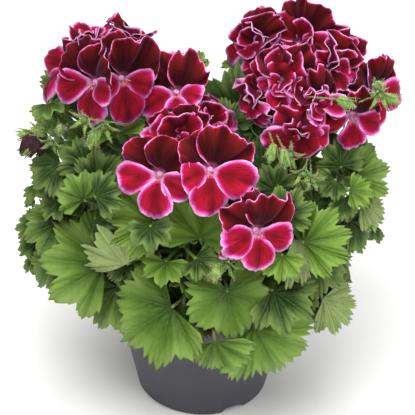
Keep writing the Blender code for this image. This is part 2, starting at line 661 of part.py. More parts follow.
class Bloom:
    """Five petals round a throat, kept inside the room that its neighbours leave."""

    def __init__(self, name):
        self.name = name
        self.stem, throat, azimuth, elevation, roll, length = BLOOMS[name]
        self.throat = mm(throat)
        self.right, self.up, self.forward = bloom_frame(direction(azimuth, elevation), roll)
        self.length = length * MM
        self.centre = self.throat + self.forward * BLOOM_DEPTH
        self.seed = sorted(BLOOMS).index(name) + SEED
        self.neighbours = []

    def find_neighbours(self, blooms):
        for other in blooms:
            apart = other.centre - self.centre
            if other is not self and apart.length < NEIGHBOUR_REACH:
                self.neighbours.append((apart.normalized(), apart.length / 2 - BLOOM_CLEARANCE))

    def room(self, way):
        """How far the bloom may reach from its centre in this direction."""
        return min(
            (limit / way.dot(other) for other, limit in self.neighbours if way.dot(other) > 0.05),
            default=1.0,
        )

    def pressed(self, point):
        """The point, drawn in where it nears the middle between two blooms."""
        offset = point - self.centre
        way = offset.normalized()
        limit = self.room(way)
        over = offset.length / limit - PRESS_START
        if over > 0:
            spare = 1 - PRESS_START
            point = self.centre + way * limit * (PRESS_START + spare * (1 - math.exp(-over / spare)))
        return point

    def around(self, angle):
        """The direction at this angle round the throat, clockwise from the bloom's up."""
        turn = math.radians(angle)
        return self.up * math.cos(turn) + self.right * math.sin(turn)

    def petal_frame(self, petal):
        """A petal's own axes (radial, side, along and face), its length, half width and phase."""
        angle, length_share, width_share, opening, _, _ = PETALS[petal]
        draw = random.Random(self.seed * 10 + petal)
        angle += draw.uniform(-2, 2)
        opening += draw.uniform(-2, 2)
        phase = draw.uniform(0, 2 * math.pi)
        length = self.length * length_share * draw.uniform(0.95, 1.04)
        radial, side = self.around(angle), self.around(angle + 90)
        tip = radial * math.sin(math.radians(opening)) + self.forward * math.cos(math.radians(opening))
        reach = self.throat + tip * length - self.centre
        crowd = min(1, self.room(reach.normalized()) / reach.length)
        half = self.length * width_share / 2 * (0.45 + 0.55 * crowd)
        length *= 0.5 + 0.5 * crowd
        tilt = math.radians(opening * (0.5 + 0.5 * crowd))
        along = radial * math.sin(tilt) + self.forward * math.cos(tilt)
        face = self.forward * math.sin(tilt) - radial * math.cos(tilt)
        return radial, side, along, face, length, half, phase

    def petal_point(self, petal, across, out):
        """A point of a petal: across runs -1 to 1, and out from claw to margin."""
        radial, side, along, face, length, half, phase = self.petal_frame(petal)
        stand, claw_end = PETALS[petal][4:]
        width = CLAW_HALF_WIDTH + (half - CLAW_HALF_WIDTH) * smooth((out - claw_end) / 0.8)
        ruffle = UPPER_RUFFLE if petal < 2 else LOWER_RUFFLE
        x = across * width
        y = out * (1 - PETAL_ROUNDING * abs(across) ** 2.2 * out)
        z = PETAL_ARCH * math.sin(math.pi * out) - PETAL_REFLEX * out**2
        z += PETAL_TROUGH * out * across**2 + stand * out
        z += ruffle * out**2 * math.sin(3.2 * across + phase)
        start = self.throat + radial * THROAT_RADIUS
        return self.pressed(start + side * x + (along * y + face * z) * length)

    def solid(self):
        """The five petals as one thin closed body, joined at the throat."""
        points = [self.throat.copy()]
        corners = []
        for k in range(5):
            after = PETALS[(k + 1) % 5][0] + (360 if k == 4 else 0)
            out = THROAT_RADIUS * (UPPER_CORNER if k == 0 else THROAT_CORNER)
            corners.append(len(points))
            way = self.around((PETALS[k][0] + after) / 2)
            points.append(self.throat + way * out + self.forward * 0.2 * out)
        triangles = [(0, corners[k], corners[k - 1]) for k in range(5)]
        for k in range(5):
            previous = [corners[k - 1], corners[k]]
            for out, places in PETAL_ROWS:
                row = range(len(points), len(points) + len(places))
                points += [self.petal_point(k, across, out) for across in places]
                triangles += strip(previous, row)
                previous = row
        return thicken(points, triangles, PETAL_THICKNESS)


def strip(low, high):
    """The triangles between two rows of points, of which the outer has more."""
    triangles = []
    i = j = 0
    while i < len(low) - 1 or j < len(high) - 1:
        share_low = (i + 0.5) / (len(low) - 1) if i < len(low) - 1 else 9
        share_high = (j + 0.5) / (len(high) - 1) if j < len(high) - 1 else 9
        if share_high <= share_low:
            triangles.append((low[i], high[j + 1], high[j]))
            j += 1
        else:
            triangles.append((low[i], low[i + 1], high[j]))
            i += 1
    return triangles


def pedicel_points(start, end, forward, bow):
    """The centreline of a slim stalk from a head, arriving along the way that it faces."""
    pull = (end - start).length * 0.4
    side = forward.cross(UP)
    leave = start + (end - start) * 0.3 + (side * bow[0] + UP * bow[1]) * pull
    return [bezier(start, leave, end - forward * pull, end, share) for share in (0, 0.5, 1)]


def outer_part(points):
    """A pedicel's centreline without its inner end, where the pedicels of a head are one."""
    return [points[0].lerp(points[1], 0.5), *points[1:]]


def calyx(points, at, forward, reach):
    """A pedicel that ends in a star of five sepals, its flat face to the petals."""
    vertices, faces = tube(points, [PEDICEL_RADIUS, PEDICEL_RADIUS, PEDICEL_RADIUS * 1.3], 5)
    faces.pop()
    last = len(vertices) - 5
    first = len(vertices)
    for k in range(5):
        out = vertices[last + k] - points[-1]
        half_way = vertices[last + (k + 1) % 5] - points[-1] + out
        vertices.append(at + out.normalized() * reach - forward * 1.5 * MM)
        vertices.append(at + half_way.normalized() * 2.4 * MM - forward * 0.8 * MM)
    vertices.append(at)
    for k in range(5):
        low, after = last + k, last + (k + 1) % 5
        tip, notch, before = first + 2 * k, first + 2 * k + 1, first + (2 * k - 1) % 10
        faces += [(low, tip, before), (low, notch, tip), (low, after, notch)]
        faces += [(len(vertices) - 1, before, tip), (len(vertices) - 1, tip, notch)]
    return vertices, faces


def bud(points, at, forward):
    """A pedicel that ends in a closed bud, a spindle of sepals."""
    spindle = [at + forward * BUD_LENGTH * share for share in (0.3, 0.7, 1.0)]
    radii = [PEDICEL_RADIUS] * 2 + [PEDICEL_RADIUS * 1.4, BUD_RADIUS, BUD_RADIUS * 0.75, 0.4 * MM]
    return tube(points + spindle, radii, 4)


def petiole_points(stem, height, leaf):
    """The leaf stalk's centreline, from inside the stem to the base of the blade."""
    start = stem_at(stem, height)
    span = (leaf.base - start).length
    out = leaf.base - start
    out.z = 0
    out.normalize()
    arrive = (leaf.axis * 0.5 + leaf.normal * 0.75 + UP * 0.15).normalized()
    leave = start + (out * 0.35 + UP * 0.35) * span
    near = leaf.base - arrive * span * 0.35
    return [bezier(start, leave, near, leaf.base, s / PETIOLE_STEPS) for s in range(PETIOLE_STEPS + 1)]


def effort(way):
    """How far this way of bending takes a leaf from its place."""
    shift, tilt, turn, scale = way
    return abs(shift) * 0.10 + abs(tilt) * 0.08 + abs(turn) * 0.06 + (1 - scale) * 7


def tries():
    """Every way to bend a leaf clear, the least effort first."""
    return sorted(itertools.product(SHIFTS, TILTS, TURNS, SCALES), key=effort)[:MOST_TRIES]


def nearest_stems(base):
    """The stems in order of how near they pass to a leaf's base."""
    def apart(name):
        height = min(max(base.z - 18 * MM, SOIL_TOP + 10 * MM), STEMS[name][1] * MM)
        return (stem_at(name, height) - base).length
    return sorted(STEMS, key=apart)


def place_leaf(leaf, standing, ways):
    """Bends the leaf until it and its stalk are clear: the stem, and (leaf, stalk), or None."""
    for way in ways:
        bent = leaf.bent(*way)
        vertices, faces = bent.solid(LEAF_THICKNESS + 2 * LEAF_CLEARANCE)
        if standing.hit(vertices, faces):
            continue
        for stem in nearest_stems(bent.base)[:3]:
            top = STEMS[stem][1] * MM
            for below in STALK_HEIGHTS_BELOW:
                height = min(max(bent.base.z - below * MM, SOIL_TOP + 8 * MM), top)
                points = petiole_points(stem, height, bent)
                if (points[-1] - points[-3]).normalized().dot(bent.normal) < 0.35:
                    continue
                full = tube(points, [PETIOLE_RADIUS + 0.6 * MM] * len(points), 4)
                outer = tube(points[1:], [PETIOLE_RADIUS + 0.4 * MM] * (len(points) - 1), 4)
                if standing.hit(*full, skip=(stem,)) or standing.hit(*outer):
                    continue
                standing.add("leaf", *bent.solid(LEAF_THICKNESS + 0.4 * MM))
                standing.add("leaf", *tube(points, [PETIOLE_RADIUS + 0.3 * MM] * len(points), 4))
                return stem, (bent, points)
    return None


def canopy_leaves(taken):
    """The leaves of the rings, left out where a leaf of the list already is."""
    draw = random.Random(SEED)
    leaves = []
    for ring, (shell, elevation, count, slope, radius) in enumerate(CANOPY_RINGS):
        for k in range(count):
            azimuth = FIRST_CANOPY_AZIMUTH + 360 * (k + 0.5 * (ring % 2)) / count + draw.uniform(-8, 8)
            rise = elevation + draw.uniform(-5, 5)
            way = direction(azimuth, rise)
            middle = CANOPY_CENTRE + Vector([way[i] * CANOPY_RADII[i] * shell for i in range(3)])
            axis = direction(azimuth + draw.uniform(-35, 35), slope + draw.uniform(-12, 12))
            facing = direction(azimuth + draw.uniform(-20, 20), min(80, rise + 32))
            size = radius * MM * draw.uniform(0.85, 1.08)
            cup = draw.uniform(-0.10, 0.12)
            spread = draw.choice((200, 225, 250, 285))
            if any((middle - other).length < CANOPY_APART for other in taken):
                continue
            base = middle - axis * size * BLADE_MIDDLE
            leaf = Leaf(base, axis, facing, size, spread, cup, SEED + 100 + len(leaves))
            leaves.append(leaf)
    return leaves


def listed_leaves():
    """The leaves of the list, in its order."""
    leaves = []
    for i, (base, tip, azimuth, elevation, spread, cup) in enumerate(LEAVES.values()):
        axis = mm(tip) - mm(base)
        leaf = Leaf(mm(base), axis, direction(azimuth, elevation), axis.length, spread, cup, SEED + i)
        leaf.slide = VIEW
        leaves.append(leaf)
    return leaves


def place_pedicel(stem, end, forward, tip, standing):
    """The centreline of a pedicel, bowed clear with what tip puts on it, or None where there is no room."""
    for bow in BOWS:
        points = pedicel_points(head_of(stem), end, forward, bow)
        solid = tip(points)
        outer = tip(outer_part(points))
        if standing.hit(*solid, skip=(stem, "flowers of " + stem)) or standing.hit(*outer, skip=(stem,)):
            continue
        standing.add(stem, *solid)
        standing.add("flowers of " + stem, *outer)
        return points
    return None


def place_calyx(bloom, standing):
    """What makes the bloom's pedicel and calyx: centreline, place, facing and reach of the sepals."""
    forward = bloom.forward
    at = bloom.throat - forward * (GAP + PETAL_THICKNESS / 2)
    for reach in (SEPAL_REACH, SEPAL_REACH * 0.65):
        points = place_pedicel(
            bloom.stem, at - forward * CALYX_DEPTH, forward,
            lambda points: calyx(points, at, forward, reach), standing,
        )
        if points:
            return points, at, forward, reach
    raise ValueError("no room for the pedicel of " + bloom.name)


def place_bud(row, standing):
    """What makes a bud or an open calyx, slid clear, or None where there is no room."""
    stem, at, azimuth, elevation, kind = row
    forward = direction(azimuth, elevation)
    shape, sizes, depth = (calyx, (STAR_REACH,), CALYX_DEPTH) if kind == "calyx" else (bud, (), 0)
    for slide in BUD_SLIDES:
        end = mm(at) + VIEW * slide * MM
        points = place_pedicel(
            stem, end - forward * depth, forward,
            lambda points: shape(points, end, forward, *sizes), standing,
        )
        if points:
            return points, end, forward, *sizes
    return None


def pot_and_soil(standing):
    """Adds the pot's wall and rim and the top of the compost to what stands, with room to spare."""
    rim_low, rim_high = 88 * MM, POT_HEIGHT + 1.5 * MM
    outer, inner = POT_RIM_RADIUS + 1 * MM, POT_NECK_RADIUS - 4 * MM
    add_turned(standing, [(POT_FOOT_RADIUS + 2 * MM, 0), (POT_NECK_RADIUS + 2 * MM, rim_low)])
    add_turned(standing, [(POT_NECK_RADIUS + 2 * MM, rim_low), (outer, rim_low), (outer, rim_high)])
    add_turned(standing, [(outer, rim_high), (inner, rim_high), (inner, SOIL_TOP - 4 * MM)])
    add_turned(standing, [(0.5 * MM, SOIL_TOP + 3 * MM), (POT_NECK_RADIUS, SOIL_TOP + 3 * MM)])


def layout():
    """Where everything grows: the blooms, and for each stem the kind and make of what it carries."""
    standing = Obstacles()
    pot_and_soil(standing)
    blooms = [Bloom(name) for name in BLOOMS]
    for bloom in blooms:
        bloom.find_neighbours(blooms)
        standing.add("bloom", *bloom.solid())
    grown = {}
    for name in STEMS:
        grown[name] = []
        standing.add(name, *stem_solid(name, grow=1 * MM))
    for bloom in blooms:
        grown[bloom.stem].append(("calyx", place_calyx(bloom, standing)))
    for row in BUDS:
        found = place_bud(row, standing)
        if found:
            grown[row[0]].append((row[-1], found))
    chosen = listed_leaves()
    chosen += canopy_leaves([leaf.base + leaf.axis * leaf.radius * BLADE_MIDDLE for leaf in chosen])
    ways = tries()
    for leaf in chosen:
        found = place_leaf(leaf, standing, ways)
        if found:
            grown[found[0]].append(("leaf", found[1]))
    return blooms, grown


def add_turned(standing, profile):
    """Adds a turned surface to what stands."""
    segments = 24
    vertices, faces = [], []
    for radius, height in profile:
        for k in range(segments):
            turn = 2 * math.pi * k / segments
            vertices.append(Vector((radius * math.cos(turn), radius * math.sin(turn), height)))
    for i in range(len(profile) - 1):
        for k in range(segments):
            a, b = i * segments + k, i * segments + (k + 1) % segments
            faces.append((a, b, b + segments, a + segments))
    standing.add("pot", vertices, faces)


def make_soil():
    """The compost: it fills the pot to below the rim, is rough on top and has a hole for each stem."""
    draw = random.Random(SEED)
    bottom = POT_FLOOR_TOP + GAP
    rings = [(0, bottom), (wall_radius(bottom) - GAP, bottom), (wall_radius(SOIL_TOP) - GAP, SOIL_TOP)]
    rings += [(wall_radius(SOIL_TOP) * share, SOIL_TOP + 1 * MM) for share in (0.66, 0.33)]
    rings += [(0, SOIL_TOP + 1 * MM)]
    rough = 1.2 * MM
    soil = turned(
        "compost", rings, SOIL_SEGMENTS, lambda i: draw.uniform(-rough, rough) if i >= 3 else 0
    )
    holes = []
    for name in STEMS:
        (x, y), _, _ = STEMS[name]
        ends = [Vector((x * MM, y * MM, z)) for z in (HOLE_BOTTOM, SOIL_TOP + 6 * MM)]
        holes.append(tube(ends, [STEM_RADIUS + GAP / math.cos(math.pi / STEM_SIDES)] * 2, STEM_SIDES))
    return boolean(soil, holes, "DIFFERENCE")


def material(name, colour, roughness):
    """A plain Principled material."""
    made = bpy.data.materials.new(name)
    made.use_nodes = True
    shader = made.node_tree.nodes["Principled BSDF"]
    shader.inputs["Base Color"].default_value = (*colour, 1)
    shader.inputs["Roughness"].default_value = roughness
    return made


def main():
    for old in list(bpy.data.objects):
        bpy.data.objects.remove(old)
    plastic = material("grey_plastic", (0.075, 0.07, 0.09), 0.5)
    peat = material("peat_compost", (0.03, 0.018, 0.011), 0.95)
    foliage = material("green_leaf", (0.09, 0.24, 0.035), 0.55)
    crimson = material("crimson_petal", (0.19, 0.006, 0.03), 0.5)
    make_pot().data.materials.append(plastic)
    make_soil().data.materials.append(peat)
    blooms, grown = layout()
    shapes = {"calyx": calyx, "bud": bud, "leaf": Leaf.stalked}
    for name in STEMS:
        stem = new_object("leafy_stem_" + name, *stem_solid(name))
        joined = [shapes[kind](*made) for kind, made in grown[name]]
        boolean(stem, [ball(head_of(name), KNOB_RADIUS), *joined], "UNION")
        stem.data.materials.append(foliage)
    for bloom in blooms:
        petals = new_object("bloom_" + bloom.name, *bloom.solid())
        petals.data.shade_smooth()
        petals.data.materials.append(crimson)


main()
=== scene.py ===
"""The looks of a regal pelargonium in its nursery pot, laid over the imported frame.

Lengths are metres in the frame's own axes: the pot stands on z = 0, the front is -Y, the right +X.
The plant grows by the same tables and rules as its solids, so every leaf and bloom stays in place,
and each piece is then made finer: toothed and veined blades, ruffled petals, hairy buds.
"""

import functools
import itertools
import json
import math
import random

import bmesh
import bpy
import numpy as np
from bpy.props import FloatProperty, FloatVectorProperty, IntProperty, PointerProperty
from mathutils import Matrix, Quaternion, Vector, noise

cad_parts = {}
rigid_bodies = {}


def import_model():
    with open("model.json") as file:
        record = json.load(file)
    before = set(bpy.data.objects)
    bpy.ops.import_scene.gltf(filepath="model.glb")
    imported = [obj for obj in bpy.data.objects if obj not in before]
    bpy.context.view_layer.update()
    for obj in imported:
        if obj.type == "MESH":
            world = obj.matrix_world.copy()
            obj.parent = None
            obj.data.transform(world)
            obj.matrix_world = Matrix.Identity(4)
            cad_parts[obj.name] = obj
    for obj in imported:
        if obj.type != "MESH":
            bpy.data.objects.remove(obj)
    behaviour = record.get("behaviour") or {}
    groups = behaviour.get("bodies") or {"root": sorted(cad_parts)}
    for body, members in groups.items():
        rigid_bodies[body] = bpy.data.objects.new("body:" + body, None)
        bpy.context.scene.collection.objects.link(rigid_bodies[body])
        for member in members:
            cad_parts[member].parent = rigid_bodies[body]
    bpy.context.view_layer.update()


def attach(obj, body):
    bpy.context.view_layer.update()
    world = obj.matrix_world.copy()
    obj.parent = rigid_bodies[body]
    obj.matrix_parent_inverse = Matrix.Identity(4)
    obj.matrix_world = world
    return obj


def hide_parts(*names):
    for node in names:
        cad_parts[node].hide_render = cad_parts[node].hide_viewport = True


bl_info = {
    "name": "Regal pelargonium",
    "version": (1, 0, 0),
    "blender": (4, 5, 0),
    "location": "View3D > Sidebar > Pelargonium",
    "description": "Builds the fine pieces of a potted regal pelargonium over its packed frame",
    "category": "Object",
}

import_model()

MM = 0.001
UP = Vector((0, 0, 1))

# Pot: a 13 cm round nursery pot
POT_HEIGHT = 100 * MM
POT_FOOT_RADIUS = 42 * MM
POT_NECK_RADIUS = 62 * MM
POT_NECK_HEIGHT = 92 * MM
POT_RIM_RADIUS = 65 * MM
POT_WALL = 1.5 * MM
LIP_DEPTH = 1.5 * MM
LIP_FLARE = 0.6 * MM
POT_RECESS = 5.6 * MM
POT_FLOOR_TOP = 7.4 * MM
POT_PAD_RADIUS = 11 * MM
FOOT_RING_WIDTH = 6 * MM
DRAIN_HOLES = 6
DRAIN_RADIUS = 4 * MM
DRAIN_CIRCLE = 24 * MM
NOTCH_AZIMUTHS = (30, 210)
NOTCH_SIZE = (18 * MM, 14 * MM, 5 * MM)

# Compost and the holes that the stems stand in
GAP = 0.3 * MM
SOIL_TOP = 88 * MM
HOLE_BOTTOM = 60 * MM

# Stems
STEM_RADIUS = 3.6 * MM
STALK_RADIUS = 1.9 * MM
STEM_RINGS = 8
JOINT_SWELL = 0.10
PEDICEL_RADIUS = 1.0 * MM
PETIOLE_RADIUS = 1.1 * MM
PETIOLE_STEPS = 3
# The knob at the top of a stem, from below: height and radius of its rings against its own radius
KNOB_RADIUS = 3.2 * MM
KNOB = ((-1, 0.5), (-0.75, 0.8), (-0.3, 1), (0.2, 0.98), (0.65, 0.75), (0.95, 0.3))

# name: foot on the compost (x, y), height where the leaves end, head (x, y, z), all in mm
STEMS = {
    "left": ((-20, -6), 175, (-62, -8, 220)),
    "far_left": ((-30, 10), 160, (-90, -12, 186)),
    "centre": ((-8, -24), 150, (-14, -42, 184)),
    "middle": ((-4, 4), 165, (-17, -6, 208)),
    "right": ((18, -6), 170, (52, -2, 222)),
    "far_right": ((32, 10), 165, (86, 6, 205)),
    "front": ((14, -28), 130, (26, -64, 150)),
    "back_left": ((-22, 26), 150, (-54, 54, 178)),
    "back": ((2, 34), 135, (-16, 64, 158)),
    "back_right": ((24, 30), 155, (54, 56, 184)),
}

# Blooms: stem, throat (x, y, z) in mm, azimuth and elevation it faces, roll, petal length in mm
BLOOMS = {
    "left_1": ("left", (-66, -30, 237), -26, 22, 4, 25),
    "left_2": ("left", (-51, -28, 239), 22, 24, -4, 27),
    "left_3": ("left", (-68, 2, 242), -150, 76, 0, 25),
    "left_4": ("left", (-82, 0, 229), -72, 40, 0, 24),
    "left_5": ("left", (-48, 8, 240), 120, 68, 0, 24),
    "centre_1": ("middle", (-19, -24, 228), 2, 34, 4, 22),
    "centre_2": ("centre", (-27, -70, 200), -10, 26, -4, 26),
    "centre_3": ("centre", (-15, -46, 211), -14, 44, 10, 25),
    "centre_4": ("centre", (0, -28, 208), 40, 50, 0, 20),
    "centre_5": ("centre", (2, -72, 205), 10, 32, -8, 27),
    "front_1": ("front", (29, -85, 173), 24, 18, -6, 23),
    "right_1": ("right", (29, -7, 250), -38, 34, 6, 23),
    "right_2": ("right", (53, 4, 247), 12, 58, 0, 27),
    "right_3": ("right", (68, -14, 240), 38, 30, -10, 25),
    "right_4": ("right", (42, -32, 243), -12, 26, 4, 24),
    "right_5": ("right", (61, -38, 233), 20, 14, 0, 22),
    "right_6": ("right", (52, -38, 216), 4, -2, 0, 24),
    "right_7": ("right", (31, -26, 230), -45, 8, 0, 22),
    "right_8": ("right", (76, 6, 232), 85, 24, 0, 24),
    "right_9": ("right", (54, 20, 238), 160, 52, 0, 25),
    "far_right_1": ("far_right", (95, -6, 222), 42, 22, -6, 23),
    "far_right_2": ("far_right", (85, -22, 215), 8, 0, 0, 22),
    "back_left_1": ("back_left", (-66, 66, 190), -140, 34, 0, 26),
    "back_left_2": ("back_left", (-44, 74, 188), 170, 36, 0, 26),
    "back_1": ("back", (-20, 82, 168), 178, 32, 0, 27),
    "back_right_1": ("back_right", (48, 74, 196), 165, 38, 0, 27),
    "back_right_2": ("back_right", (68, 62, 192), 125, 30, 0, 26),
}
PETAL_THICKNESS = 0.8 * MM
THROAT_RADIUS = 2.2 * MM
BLOOM_CLEARANCE = 0.6 * MM

# Petals: angle round the throat from the bloom's up, length and width against the bloom's, opening
# angle, and how far the margin stands forward. The first two are the upper pair
PETALS = (
    (-30, 1.0, 1.06, 60, 0.07),
    (30, 1.0, 1.06, 71, -0.05),
    (107, 0.94, 0.84, 67, 0),
    (180, 0.94, 0.80, 72, 0),
    (253, 0.94, 0.84, 67, 0),
)
CLAW_HALF_WIDTH = 1.3 * MM
PETAL_ARCH = 0.14
PETAL_REFLEX = 0.10
BLOOM_DEPTH = 9 * MM
NEIGHBOUR_REACH = 80 * MM
PRESS_START = 0.65

# Buds: stem, end of the pedicel (x, y, z) in mm, azimuth and elevation it faces, open calyx or bud,
# and to stand clear how many mm it slides along VIEW and how far its pedicel bows, sideways and up
BUDS = (
    ("left", (-72, -46, 219), -30, 0, "calyx", 14, (-2, 0.2)),
    ("left", (-60, -48, 215), 10, -10, "calyx", 0, (0, 0.2)),
    ("left", (-66, -46, 213), -20, -50, "bud", 0, (0.6, 0.2)),
    ("far_left", (-98, -22, 196), -60, 40, "bud", 0, (0, 0.2)),
    ("far_left", (-104, -18, 194), -70, 5, "bud", 0, (0, 0.2)),
    ("far_left", (-104, -20, 188), -60, -35, "bud", 0, (0, -0.5)),
    ("far_left", (-94, -27, 191), -20, -20, "calyx", 0, (-0.6, 0.2)),
    ("far_left", (-88, -24, 199), 10, 50, "bud", 0, (0, 1.6)),
    ("right", (74, -46, 238), 75, -20, "bud", 10, (1.2, 1.6)),
    ("right", (38, -58, 214), -20, -50, "bud", 0, (1.2, 0.9)),
    ("right", (44, -60, 212), 10, -60, "bud", 0, (0.6, 0.2)),
    ("right", (48, -60, 208), 0, 10, "calyx", -3, (2, -1.2)),
    ("right", (56, -62, 196), 0, 0, "calyx", 0, (-2, -0.5)),
    ("right", (63, -60, 190), 30, -10, "calyx", 0, (-2, -0.5)),
    ("far_right", (97, -32, 238), 10, 50, "bud", 0, (0, -2)),
    ("far_right", (102, -29, 232), 80, -20, "bud", 0, (0, 0.9)),
    ("far_right", (99, -34, 233), 0, 0, "calyx", 10, (2, -0.5)),
    ("front", (15, -84, 168), -30, -60, "bud", 0, (0, 0.2)),
    ("front", (8, -88, 150), -30, -60, "bud", 0, (0, 0.2)),
    ("front", (13, -90, 149), 0, -10, "calyx", 0, (-2, 0.2)),
    ("centre", (12, -60, 196), 60, -40, "bud", 0, (0, 0.2)),
    ("back", (-4, 80, 166), 160, 20, "bud", 3, (0, -2)),
    ("back_left", (-68, 44, 196), -100, 40, "bud", 0, (0, 0.2)),
    ("back_right", (70, 44, 200), 110, 40, "bud", 6, (0, 0.2)),
)
BUD_LENGTH = 11 * MM
SEPAL_REACH = 6.5 * MM
STAR_REACH = 9.5 * MM
CALYX_DEPTH = 4 * MM
# How far a bloom's pedicel bows, sideways and up, and the calyces that are smaller for want of room
BOW = (0, 0.2)
BOWS = {"left_4": (0, -0.5), "centre_4": (-2, 0.2)}
SMALL_CALYCES = ("centre_4", "right_2")
SMALL_CALYX = 0.65

# Leaves seen from the front: base (x, y, z), tip (x, y, z) in mm, azimuth and elevation it faces,
# spread in degrees, cup, and how fresh its green is, from 0 for old and dark to 1 for young. The last
# is partly the leaf's age and partly painted light: low as painted shade for leaves deep inside, and
# high as painted light for some that lie in shade
LEAVES = {
    "front_mid": ((14, -80, 125), (20, -94, 100), 4, 42, 310, -0.08, 0.65),
    "front_right_fan": ((30, -81, 101), (30, -88, 59), 4, 20, 165, -0.06, 0.85),
    "front_left_big": ((-19, -80, 113), (-55, -88, 91), -16, 36, 220, -0.05, 0.58),
    "front_left_fold": ((-12, -78, 114), (-15, -86, 84), -6, 24, 120, -0.05, 0.22),
    "front_low": ((7, -76, 88), (2, -84, 62), -4, 18, 175, 0, 0.7),
    "front_under": ((39, -74, 106), (49, -78, 92), 20, 30, 200, 0, 0.22),
    "right_dark": ((41, -70, 120), (64, -84, 115), 16, 46, 210, -0.05, 0.2),
    "young_bright": ((45, -84, 155), (44, -94, 142), 8, 36, 200, 0.15, 0.95),
    "pale_back": ((-46, -66, 134), (-63, -72, 156), -14, 10, 170, -0.08, 0.22),
    "left_fan": ((-61, -50, 122), (-101, -62, 134), -34, 36, 190, -0.04, 0.6),
    "centre_big": ((-3, -70, 156), (2, -60, 192), 0, 34, 235, 0.08, 0.95),
    "centre_left_bright": ((-31, -66, 164), (-56, -74, 174), -10, 40, 170, 0.08, 0.8),
    "centre_left_low": ((-32, -72, 165), (-31, -86, 158), -4, 46, 230, 0.02, 0.22),
    "left_mid": ((-88, -34, 142), (-112, -40, 136), -44, 40, 200, -0.05, 0.35),
    "left_low": ((-88, -30, 115), (-108, -36, 99), -50, 34, 210, -0.05, 0.25),
    "left_edge": ((-104, -10, 124), (-120, -10, 122), -50, 50, 160, 0, 0.15),
    "left_up": ((-88, -24, 177), (-108, -28, 169), -44, 40, 220, 0, 0.1),
    "left_cup": ((-64, -20, 185), (-95, -10, 206), -16, 34, 190, 0.2, 0.15),
    "left_inner_a": ((-72, -34, 183), (-87, -34, 193), -20, 44, 210, 0.05, 0.05),
    "left_inner_b": ((-65, -44, 176), (-52, -36, 191), 0, 36, 200, 0.05, 0.1),
    "left_inner_c": ((-72, -48, 167), (-82, -48, 182), -20, 40, 200, 0.05, 0.65),
    "left_inner_d": ((-64, -52, 172), (-48, -54, 181), 0, 44, 180, 0, 0.1),
    "left_inner_e": ((-66, -54, 158), (-52, -60, 168), -10, 44, 180, 0, 0.15),
    "left_head_leaf": ((-53, -34, 204), (-60, -30, 226), -6, 26, 190, 0.12, 0.85),
    "top_mid": ((-10, -4, 234), (-12, 4, 243), 0, 40, 200, 0.1, 0.6),
    "back_dark": ((20, 8, 190), (18, 24, 223), 4, 10, 240, 0.05, 0.1),
    "inner_dark": ((10, -20, 202), (8, -10, 219), 0, 30, 200, 0, 0.1),
    "centre_low": ((10, -72, 148), (-11, -82, 146), -6, 46, 200, 0, 0.8),
    "centre_low_b": ((-5, -70, 142), (6, -80, 137), 4, 46, 220, 0, 0.22),
    "young_low": ((-23, -76, 143), (-26, -88, 133), -4, 46, 220, 0.2, 0.95),
    "left_front_back": ((-35, -70, 122), (-52, -74, 128), -16, 44, 200, 0, 0.22),
    "right_fold": ((52, -66, 154), (66, -80, 128), 50, 30, 130, 0.12, 0.22),
    "right_fan": ((58, -64, 151), (85, -66, 160), 22, 34, 170, 0.06, 0.8),
    "right_low": ((65, -58, 138), (87, -64, 122), 34, 36, 220, -0.03, 0.22),
    "right_olive": ((73, -50, 101), (92, -56, 88), 40, 30, 160, 0, 0.22),
    "right_edge": ((88, -34, 147), (99, -40, 129), 50, 36, 200, 0, 0.22),
    "right_top_edge": ((93, -26, 155), (110, -28, 145), 60, 30, 150, 0, 0.22),
    "right_mid_low": ((82, -44, 170), (88, -50, 157), 34, 40, 200, 0, 0.22),
    "right_serrate": ((87, -26, 173), (110, -22, 180), 36, 46, 200, 0.05, 0.6),
    "right_back": ((90, -8, 176), (104, -2, 182), 40, 40, 200, 0, 0.22),
    "right_lobed": ((80, -32, 185), (79, -24, 202), 24, 26, 220, 0.08, 0.22),
    "right_inner": ((76, -42, 181), (68, -50, 175), 20, 46, 210, 0, 0.22),
    "right_bright": ((85, -36, 171), (102, -38, 171), 40, 50, 180, 0, 0.8),
    "right_centre_a": ((40, -56, 182), (33, -50, 196), 6, 36, 200, 0.05, 0.22),
    "right_centre_b": ((45, -64, 169), (54, -62, 186), 10, 36, 200, 0.05, 0.22),
    "right_centre_c": ((56, -66, 150), (57, -66, 171), 14, 40, 170, 0, 0.22),
    "right_deep_a": ((64, -30, 154), (67, -20, 173), 10, 20, 200, 0, 0.15),
    "right_deep_b": ((51, -24, 169), (54, -12, 188), 0, 20, 210, 0, 0.15),
    "right_deep_c": ((33, -36, 185), (30, -24, 202), -6, 20, 200, 0, 0.15),
    "left_deep": ((-46, -50, 124), (-56, -44, 139), -14, 20, 200, 0, 0.05),
    "front_deep": ((-16, -62, 106), (-11, -58, 125), 0, 30, 200, 0, 0.1),
}

# Leaves round the sides and back: rings on the canopy, from the rim up, then rings inside it
CANOPY_CENTRE = Vector((0, 0, 112 * MM))
CANOPY_RADII = Vector((88 * MM, 84 * MM, 84 * MM))
# Share of the canopy's radii, elevation on it, leaves round it, slope of the blade, radius in mm
CANOPY_RINGS = (
    (1.0, -8, 11, -42, 36),
    (1.0, 14, 11, -18, 36),
    (1.0, 36, 9, 8, 32),
    (1.0, 58, 6, 34, 28),
    (0.66, 28, 9, 20, 26),
    (0.6, 60, 6, 30, 24),
)
FIRST_CANOPY_AZIMUTH = 12
CANOPY_APART = 24 * MM
# How far the rings' leaves stray, in degrees: azimuth, elevation, the way they point round and up;
# how much higher than their place they face; and their sizes
CANOPY_STRAY = (8, 5, 35, 12, 32, (0.85, 1.08))
YOUNG_STRAY = (10, 6, 50, 15, 30, (0.8, 1.1))
BLADE_MIDDLE = 0.45
LEAF_LOBES = 5
LOBE_NOTCH = 0.19
SIDE_FALL = 0.30
PLEAT = 0.07
